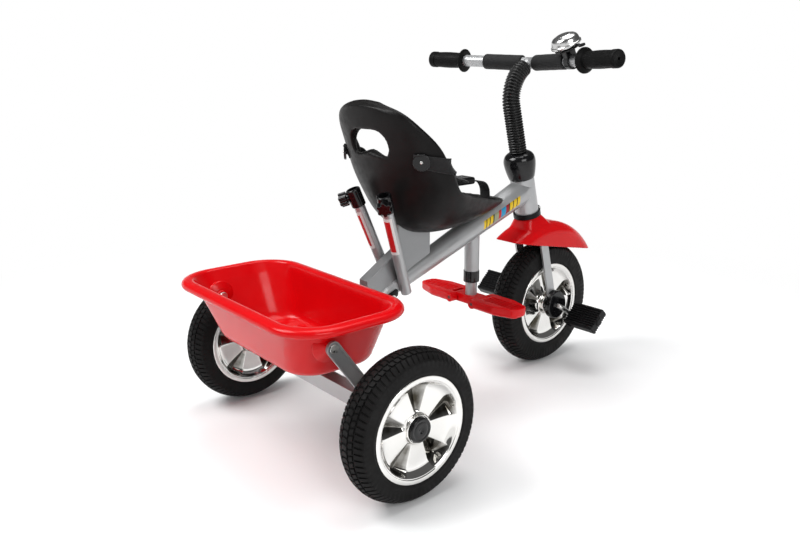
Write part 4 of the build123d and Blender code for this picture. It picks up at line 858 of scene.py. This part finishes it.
# At a sleeve's end: radius, and distance from the end
FOAM_END = [(11.1, 0.0), (12.6, 0.0), (13.6, 0.4), (14.2, 1.2), (14.5, 2.4)]
FOAM_RADIUS = 14.4
FOAM_STEPS = 12
# Slight waves along a sleeve: height, and turn from one step to the next
FOAM_WAVE = 0.1
FOAM_WAVE_TURN = 1.9


def make_foam():
    profile = list(FOAM_END)
    for n in range(1, FOAM_STEPS):
        wave = FOAM_WAVE * sin(FOAM_WAVE_TURN * n)
        profile.append((FOAM_RADIUS + wave, FOAM_LENGTH * n / FOAM_STEPS))
    profile += [(radius, FOAM_LENGTH - height) for radius, height in reversed(FOAM_END)]
    shells = []
    for side, arm in ARMS.items():
        way = arm.normalized()
        shells.append(lathe(profile, BAR_MIDDLE + way * FOAM_STARTS[side], way, closed=True))
    stand_in("foam_sleeves", join(*shells))


make_grips()
make_foam()

# Bell
BELL_PLACE = 116.0
BELL_TILT = radians(25)
DOME_FOOT = 29.4
# Radius, and height above the dome's foot
DOME_OUTSIDE = [
    (25.2, 0.0), (26.6, 0.0), (27.0, 0.5), (27.0, 3.2), (26.6, 3.9), (25.6, 4.3), (25.2, 4.9),
    (24.9, 7.0), (24.1, 10.5), (22.4, 13.8), (19.6, 16.4), (16.0, 17.9), (13.4, 18.5), (12.8, 19.1),
    (12.0, 19.4), (11.0, 19.3), (6.0, 19.8), (0.3, 20.0),
]
DOME_INSIDE = [
    (0.3, 18.2), (10.0, 17.6), (16.0, 15.8), (20.5, 12.6), (23.0, 8.0), (24.0, 4.0), (25.2, 0.6),
]


def make_bell():
    way = ARMS[-1].normalized()
    level = (Vector((0, 0, 1)) - way * way.z).normalized()
    up = level * cos(BELL_TILT) + level.cross(-way) * sin(BELL_TILT)
    foot = BAR_MIDDLE + way * BELL_PLACE + up * DOME_FOOT
    stand_in("bell_dome", lathe(DOME_OUTSIDE + DOME_INSIDE, foot, up, closed=True), sharp=60)


make_bell()

# Seat
REAR_X = centre("rear_left_tyre").x
# Round the rim from the top of the back: ahead of the rear axle, half width and height
SEAT_RIM = [
    (112, 36, 549), (118, 74, 536), (134, 97, 516), (165, 113, 482), (187, 118, 445),
    (213, 115, 410), (238, 107, 400), (258, 98, 394), (284, 88, 388), (322, 75, 379),
    (366, 58, 371), (400, 36, 365), (412, 12, 363),
]
RIM_STEPS = 6
# Bead on the rim: radius on the back and at the nose, and the heights between which it changes
BACK_BEAD = 6.5
NOSE_BEAD = 2.2
NOSE_TOP = 390.0
BACK_FOOT = 440.0
# How far the bead lies in from the rim, and the half width below which it lies in less
BEAD_INSET = 4.0
INSET_HALF = 40


def bead_line():
    right = [Vector((REAR_X + x, -half, z)) for x, half, z in SEAT_RIM]
    left = [Vector((REAR_X + x, half, z)) for x, half, z in reversed(SEAT_RIM)]
    line = blend_line(right + left + right[:1], RIM_STEPS)[:-1]
    inward = [Vector((0, -p.y, 0)).normalized() * BEAD_INSET for p in line]
    return [p + way * min(1.0, abs(p.y) / INSET_HALF) for p, way in zip(line, inward)]


def bead(line, steps=12):
    """A closed bead along a line that ends where it starts, thinner towards the nose."""
    rings = []
    side = Vector((0, 0, 1))
    for n, point in enumerate(line):
        way = (line[(n + 1) % len(line)] - line[n - 1]).normalized()
        side = (side - way * side.dot(way)).normalized()
        other = way.cross(side)
        radius = NOSE_BEAD + (BACK_BEAD - NOSE_BEAD) * ease(point.z, NOSE_TOP, BACK_FOOT)
        rings.append(circle(point, side, other, radius, steps))
    return skin(rings, closed=True)


# Cover over the spindle's end: radius, and height from the pedal's end
PEDAL_END = [(0.3, -0.6), (8.6, -0.6), (8.6, 1.6), (8.0, 2.3), (6.0, 2.6), (0.3, 2.7)]
PEDAL_END_STEPS = 32


def pedal_end(side_name):
    side = SIDES[side_name]
    pin = Vector(JOINTS[f"pedal_{side_name}_spin"]["pos_m"]) / MM
    half = half_size(f"pedal_{side_name}").y
    return lathe(PEDAL_END, pin + Vector((0, side * half, 0)), (0, side, 0), PEDAL_END_STEPS)


# Hand hole's ledge: height, half height and half width, how far it slopes down to the back, and its
# two ends ahead of the rear axle
LEDGE = 475.0
LEDGE_SPAN = 17.0
LEDGE_HALF = 46.0
LEDGE_SLOPE = 9.0
LEDGE_DEPTH = (106.0, 128.0)
# Top corners of the back: place across, reach either way, how far they come down, and the heights
# over which they do
TOP_CORNER = 46.0
TOP_SPAN = 46.0
TOP_DROP = 2.4
TOP_HEIGHTS = (505.0, 550.0)


def shape_seat(seat):
    """Rounds the top of the back, and slopes the hand hole's ledge."""
    for vertex in seat.data.vertices:
        x, y, z = vertex.co / MM
        corner = 1 - ease(abs(abs(y) - TOP_CORNER), 0.0, TOP_SPAN)
        drop = TOP_DROP * corner * ease(z, *TOP_HEIGHTS)
        ledge = 1 - ease(abs(z - LEDGE), 0.0, LEDGE_SPAN)
        ledge *= 1 - ease(abs(y), LEDGE_HALF / 2, LEDGE_HALF)
        drop += LEDGE_SLOPE * ledge * (1 - ease(x - REAR_X, *LEDGE_DEPTH))
        vertex.co.z -= drop * MM


shape_seat(moulded("seat_shell", voxel=1.9, passes=16, extra=bead(bead_line())))
moulded("fender", voxel=1.5, passes=8)
for side_name in SIDES:
    moulded(f"footrest_{side_name}", voxel=0.7, passes=4)
    moulded(f"pedal_{side_name}", voxel=0.7, passes=3, extra=pedal_end(side_name))
moulded("bell_base", voxel=0.9, passes=3)
moulded("belt_buckle", voxel=0.9, passes=4)

# Bucket
BASE_HALF = Vector((72.5, 133.0))
BASE_SHIFT = 11.0
BASE_CORNER = 48.0
RIM_CORNER = 72.0
LIP_WIDTH = 18.0
BUCKET_WALL = 3.0
BUCKET_LEVELS = 12
FLOOR_RISE = 12.0
CORNER_STEPS = 14
SIDE_STEPS = 10
# From the floor to the wall: place in from the wall, and rise
FLOOR_CURVE = [
    (30.0, 0.0), (16.0, 0.0), (11.0, 0.3), (6.5, 1.6), (3.0, 4.0), (1.0, 7.5), (0.0, FLOOR_RISE),
]
# Where the wall ends below the top, inside and outside
INSIDE_END = 8.0
OUTSIDE_END = 14.0
# Over the lip: place out from the wall, and drop below the top
LIP_CURVE = [
    (-2.6, 3.6), (-1.6, 1.5), (0.2, 0.4), (3.0, 0.0), (8.0, 0.1), (12.0, 0.8), (15.2, 2.4),
    (17.2, 4.8), (18.0, 7.8), (17.6, 10.2), (16.4, 12.1), (15.2, 12.9), (14.2, 12.8), (14.0, 12.0),
    (14.6, 10.6), (14.4, 8.0), (12.0, 5.0), (8.0, 3.6), (3.0, 3.4), (1.0, 5.0), (0.2, 8.0),
]
# Pivot pad and boss: radius, and distance from the middle plane
PIVOT_PROFILE = [
    (4.1, 149.6), (8.6, 149.6), (9.5, 150.4), (9.5, 153.0), (14.0, 153.4), (14.6, 154.6),
    (20.0, 155.0), (20.8, 156.2), (23.0, 156.6), (23.8, 157.6), (23.8, 160.5), (9.5, 166.0),
    (9.5, 171.0), (8.9, 171.6), (4.1, 171.6),
]


def rounded_ring(middle, half, corner, height):
    """Points round a rectangle with round corners."""
    ring = []
    for quarter in range(4):
        signs = Vector((1 if quarter in (0, 3) else -1, 1 if quarter in (0, 1) else -1))
        inset = Vector((a * (b - corner) for a, b in zip(signs, half)))
        pivot = Vector((middle.x, middle.y)) + inset
        angles = [(quarter + n / CORNER_STEPS) * pi / 2 for n in range(CORNER_STEPS + 1)]
        for angle in angles:
            out = Vector((cos(angle), sin(angle))) * corner
            ring.append(Vector((pivot.x + out.x, pivot.y + out.y, height)))
    count = CORNER_STEPS + 1
    full = []
    for quarter in range(4):
        full += ring[quarter * count:(quarter + 1) * count]
        start, end = full[-1], ring[(quarter + 1) * count % len(ring)]
        full += [start.lerp(end, n / SIDE_STEPS) for n in range(1, SIDE_STEPS)]
    return full


def make_bucket():
    low, high = box("bucket")
    rim_middle = (low + high) / 2
    base_middle = rim_middle + Vector((BASE_SHIFT, 0, 0))
    height = high.z - low.z
    inner_rim = half_size("bucket").xy - Vector((LIP_WIDTH, LIP_WIDTH))

    def wall(rise, inset):
        share = rise / height
        half = BASE_HALF.lerp(inner_rim, share) - Vector((inset, inset))
        corner = BASE_CORNER + (RIM_CORNER - LIP_WIDTH - BASE_CORNER) * share - inset
        return rounded_ring(base_middle.lerp(rim_middle, share), half, corner, low.z + rise)

    def lip(out, drop):
        half = inner_rim + Vector((out, out))
        return rounded_ring(rim_middle, half, RIM_CORNER - LIP_WIDTH + out, high.z - drop)

    inside = BUCKET_WALL + FLOOR_RISE
    inside_run = height - INSIDE_END - inside
    outside_run = height - OUTSIDE_END - FLOOR_RISE
    levels = [n / BUCKET_LEVELS for n in range(1, BUCKET_LEVELS)]
    rings = [wall(BUCKET_WALL + rise, BUCKET_WALL + inset) for inset, rise in FLOOR_CURVE]
    rings += [wall(inside + inside_run * share, BUCKET_WALL) for share in levels]
    rings += [lip(out, drop) for out, drop in LIP_CURVE]
    rings += [wall(FLOOR_RISE + outside_run * share, 0.0) for share in reversed(levels)]
    rings += [wall(rise, inset) for inset, rise in reversed(FLOOR_CURVE)]
    shells = [skin(rings)]
    pivot = Vector(JOINTS["bucket_tip"]["pos_m"]) / MM
    for side in (-1, 1):
        shells.append(lathe(PIVOT_PROFILE, (pivot.x, 0, pivot.z), (0, side, 0), closed=True))
    stand_in("bucket", join(*shells), sharp=70)


make_bucket()

# Belts
# Place, ahead of the rear axle, and turn from standing on the rim to lying on the lap
LAP_BELT = [
    ((135.5, 88.8, 463), 0),
    ((143.6, 98.9, 462), 0),
    ((162.4, 115.5, 458), 0),
    ((181, 123.4, 455), 0),
    ((190, 117, 454), 0.05),
    ((205, 100, 443), 0.2),
    ((255, 62, 424), 0.6),
    ((290, 35, 411), 1),
    ((314, 14, 404), 1),
]
# Ways across the belt: standing on the rim, and lying on the lap
RIM_LEAN = radians(59)
RIM_WAY = Vector((-cos(RIM_LEAN), 0, sin(RIM_LEAN)))
LAP_TURN = radians(53)
FLAT_WAY = Vector((-cos(LAP_TURN), -sin(LAP_TURN), 0))
# Place ahead of the rear axle, and height
CROTCH_STRAP = [(338, 403), (372, 398), (385, 386), (388, 370), (388, 354)]
WEBBING_HALF = 12.5
# Across the belt: place as a share of the half width, and half thickness
BELT_SECTION = [
    (-1.0, 0.3), (-0.97, 0.75), (-0.9, 1.05), (-0.82, 1.0), (-0.76, 0.85), (-0.3, 0.9), (0.3, 0.9),
    (0.76, 0.85), (0.82, 1.0), (0.9, 1.05), (0.97, 0.75), (1.0, 0.3),
]
BELT_STEPS = 8


def ribbon(stations):
    """A strap through stations of place and way across, and each point's place in the weave."""
    rings, places, run = [], [], 0.0
    offsets = [share * WEBBING_HALF for share, _ in BELT_SECTION]
    for n, (place, across) in enumerate(stations):
        before = stations[max(n - 1, 0)][0]
        beyond = stations[min(n + 1, len(stations) - 1)][0]
        heading = (beyond - before).normalized()
        across = (across - heading * across.dot(heading)).normalized()
        up = across.cross(heading)
        ring = []
        for way, section in ((1, BELT_SECTION), (-1, reversed(BELT_SECTION))):
            for share, thick in section:
                ring.append(place + across * share * WEBBING_HALF + up * thick * way)
        rings.append(ring)
        run += (place - before).length
        places += [(run, offset) for offset in offsets + offsets[::-1]]
    return skin(rings), places


def make_belts():
    shells, places = [], []
    for side in (1, -1):
        points = [Vector((REAR_X + x, side * y, z)) for (x, y, z), _ in LAP_BELT]
        line = blend_line(points, BELT_STEPS)
        shares = blend_line([Vector((turn, 0, 0)) for _, turn in LAP_BELT], BELT_STEPS)
        flat = Vector((FLAT_WAY.x, side * FLAT_WAY.y, 0))
        ways = [RIM_WAY.lerp(flat, min(1.0, max(0.0, share.x))) for share in shares]
        shell, where = ribbon(list(zip(line, ways)))
        shells.append(shell)
        places += where
    strap = blend_line([Vector((REAR_X + x, 0, z)) for x, z in CROTCH_STRAP], BELT_STEPS)
    shell, where = ribbon([(point, Vector((0, 1, 0))) for point in strap])
    shells.append(shell)
    places += where
    lay(stand_in("seat_belts", join(*shells), sharp=60), "weave", places)


make_belts()

# Screws on the belt plugs
PLUG_FOOT = (145, 98, 462)
PLUG_FACING = radians(39)
SCREW_PROFILE = [
    (0.2, 5.0), (2.7, 5.0), (2.7, 7.4), (2.4, 8.2), (1.7, 8.8), (0.7, 9.0), (0.2, 9.0),
]
SCREW_STEPS = 28


def fixed(name, shell, node, look, sharp=None):
    """A further piece that rides with a node."""
    piece = link(name, to_mesh(name, shell, sharp))
    piece.data.materials.append(look)
    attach(piece, BODY_OF[node])
    return piece


def make_screws():
    x, y, z = PLUG_FOOT
    for name, side in SIDES.items():
        out = Vector((-cos(PLUG_FACING), side * sin(PLUG_FACING), 0))
        shell = lathe(SCREW_PROFILE, (REAR_X + x, side * y, z), out, SCREW_STEPS)
        fixed(f"belt_screw_{name}", shell, "belt_plugs", ZINC, sharp=40)


make_screws()

# Labels on the handle sockets
SOCKET_MOUTH = (118, 40, 390)
SOCKET_FOOT = (178, 19, 226)
LABEL_RADII = (9.45, 9.75)
LABEL_REACH = (22.0, 92.0)
LABEL_SWEEP = radians(64)
LABEL_TURN = radians(16)
LABEL_STEPS = 14


def make_labels():
    for name, side in SIDES.items():
        mouth, foot = (
            Vector((REAR_X + x, side * y, z)) for x, y, z in (SOCKET_MOUTH, SOCKET_FOOT)
        )
        down = (foot - mouth).normalized()
        back = (Vector((-1, 0, 0)) + down * down.x).normalized()
        outward = down.cross(back) * (1 if down.cross(back).y * side > 0 else -1)
        rings = []
        shares = [n / LABEL_STEPS for n in range(LABEL_STEPS + 1)]
        corners = []
        for radius, way in zip(LABEL_RADII, (1, -1)):
            corners += [(share, radius) for share in shares[::way]]
        for reach in LABEL_REACH:
            ring = []
            for share, radius in corners:
                angle = LABEL_TURN + LABEL_SWEEP * (2 * share - 1)
                out = back * cos(angle) + outward * sin(angle)
                ring.append(mouth + down * reach + out * radius)
            rings.append(ring)
        node = f"handle_socket_{name}"
        piece = fixed(f"socket_label_{name}", skin(rings), node, LABEL, sharp=40)
        lay(piece, "place", [(share, end) for end in (0.0, 1.0) for share, _ in corners])


make_labels()

# Seat pad
PAD_VOXEL = 3.0
PAD_SHRINK = 1.2
PAD_SWELL = 2.5
PAD_PRESSURE = 5.0
PAD_FRAMES = 20
PAD_SMOOTHING = 3
# How far the pad's front comes up and forward
PAD_LIFT = 10.0
PAD_REACH = 9.0


def puff(pad):
    """Blows the pad's cover up from inside, no further than a set distance."""
    rest = [v.co.copy() for v in pad.data.vertices]
    swell = modify(pad, "CLOTH")
    swell.settings.use_pressure = True
    swell.settings.uniform_pressure_force = PAD_PRESSURE
    swell.settings.effector_weights.gravity = 0.0
    for number in range(1, PAD_FRAMES + 1):
        bpy.context.scene.frame_set(number)
    applied(pad)
    bpy.context.scene.frame_set(1)
    for vertex, start in zip(pad.data.vertices, rest):
        move = vertex.co - start
        if move.length > PAD_SWELL * MM:
            vertex.co = start + move.normalized() * PAD_SWELL * MM


def make_pad():
    pad = link("seat_pad_piece", NODES["seat_pad"].data.copy())
    modify(pad, "REMESH", mode="VOXEL", voxel_size=PAD_VOXEL * MM)
    applied(pad)
    for vertex, normal in [(v, v.normal.copy()) for v in pad.data.vertices]:
        vertex.co -= normal * PAD_SHRINK * MM
    puff(pad)
    low, high = box("seat_pad")
    for vertex in pad.data.vertices:
        x, _, z = vertex.co / MM
        ahead = ease(x, low.x, high.x)
        vertex.co.z += PAD_LIFT * MM * ease(z, low.z, high.z) * ahead
        vertex.co.x += PAD_REACH * MM * ahead
    modify(pad, "SMOOTH", iterations=PAD_SMOOTHING)
    modify(pad, "SUBSURF", levels=1)
    applied(pad)
    dress(pad, "seat_pad")
    lay(pad, "weave", [(v.co / MM).xy for v in pad.data.vertices])


make_pad()

# Nodes whose pieces keep their shape: width of the rounding on their edges
SOFT_EDGES = {
    "head_ring": 0.8,
    "frame_bolts": 0.6,
    "axle_nuts": 0.6,
    "rear_beam": 2.0,
    "axle_spacers": 0.8,
    "fork": 0.8,
    "crank": 0.6,
    "handle_clamps": 0.6,
    "knob_left": 0.8,
    "knob_right": 0.8,
    "bucket_bolts": 0.8,
    "bucket_brackets": 0.8,
    "tube_saddle": 1.0,
    "seat_bracket": 1.0,
    "belt_plugs": 0.5,
    "bell_lever": 0.6,
    "hub_covers": 0.5,
}
for node, thing in NODES.items():
    thing.data.materials.clear()
    thing.data.materials.append(look_of(node))
for node, width in SOFT_EDGES.items():
    soften(node, width)

# Floor and light
FLOOR_COLOUR = (0.9, 0.9, 0.9)
FLOOR_HALF = 9.0
# Distance from the object over which the floor goes over into the white backdrop
FADE_START = 0.55
FADE_END = 1.5
# Rise of the sight line over which the white backdrop gives way to the dark room above it
BACKDROP_TOP = 0.12
ROOM_START = 0.2
ROOM_LEVEL = 0.1
SKY_COLOUR = (0.98, 0.99, 1.0, 1.0)
SKY_LEVEL = 0.5
WHITE = (1.0, 1.0, 1.0, 1.0)


def seen_directly(tree):
    """1 for a sight line from the camera, in a mirror or through glass, and else 0."""
    path = tree.nodes.new("ShaderNodeLightPath").outputs
    either = add_math(tree, "MAXIMUM", path["Is Camera Ray"], path["Is Glossy Ray"])
    return add_math(tree, "MAXIMUM", either, path["Is Transmission Ray"])


def mix_by(tree, share, one, other, output):
    """Sends a mix of two shaders to an output."""
    mix = tree.nodes.new("ShaderNodeMixShader")
    for socket, value in zip(mix.inputs, (share, one.outputs[0], other.outputs[0])):
        put(socket, value)
    put(output.inputs[0], mix.outputs[0])


def make_floor():
    mesh = bpy.data.meshes.new("floor")
    signs = ((-1, -1), (1, -1), (1, 1), (-1, 1))
    corners = [(x * FLOOR_HALF, y * FLOOR_HALF, 0) for x, y in signs]
    mesh.from_pydata(corners, [], [(0, 1, 2, 3)])
    s = Surface("floor", FLOOR_COLOUR, 0.7, specular=0.1)
    s.drift(0.8, 0.3, (0.88, 0.88, 0.885))
    away = s.node("ShaderNodeVectorMath", operation="LENGTH", Vector=s.place).outputs["Value"]
    fade = s.node("ShaderNodeMapRange", Value=away, From_Min=FADE_START, From_Max=FADE_END)
    fade.interpolation_type = "SMOOTHSTEP"
    white = s.node("ShaderNodeEmission", Strength=1.0)
    share = s.math("MULTIPLY", fade.outputs[0], seen_directly(s.tree))
    mix_by(s.tree, share, s.shader, white, s.tree.nodes["Material Output"])
    mesh.materials.append(s.material)
    link("floor", mesh)


def make_world():
    world = bpy.data.worlds.new("studio")
    world.use_nodes = True
    bpy.context.scene.world = world
    tree = world.node_tree
    tree.nodes.clear()
    output = tree.nodes.new("ShaderNodeOutputWorld")
    lit = add_node(tree, "ShaderNodeBackground", Color=SKY_COLOUR, Strength=SKY_LEVEL)
    place = tree.nodes.new("ShaderNodeTexCoord").outputs["Generated"]
    rise = add_node(tree, "ShaderNodeSeparateXYZ", Vector=place).outputs[2]
    room = add_node(tree, "ShaderNodeMapRange", Value=rise, To_Min=1.0, To_Max=ROOM_LEVEL)
    room.interpolation_type = "SMOOTHSTEP"
    put(room.inputs["From Min"], BACKDROP_TOP)
    put(room.inputs["From Max"], ROOM_START)
    path = tree.nodes.new("ShaderNodeLightPath")
    level = add_math(tree, "MAXIMUM", room.outputs[0], path.outputs["Is Camera Ray"])
    seen = add_node(tree, "ShaderNodeBackground", Color=WHITE, Strength=level)
    mix_by(tree, seen_directly(tree), lit, seen, output)


def lamp(name, place, aim, size, power):
    data = bpy.data.lights.new(name, "AREA")
    data.shape = "RECTANGLE"
    data.size, data.size_y = size
    data.energy = power
    thing = link(name, data)
    thing.location = place
    thing.rotation_euler = (Vector(aim) - Vector(place)).to_track_quat("-Z", "Y").to_euler()


make_floor()
make_world()
lamp("key", place=(-1.6, 0.9, 2.3), aim=(0, 0, 0.3), size=(1.3, 1.3), power=55)
lamp("fill", place=(-0.6, -2.6, 1.8), aim=(0, 0, 0.3), size=(1.6, 1.2), power=30)
lamp("top", place=(0.3, 0.1, 2.6), aim=(0, 0, 0.2), size=(1.6, 1.6), power=30)
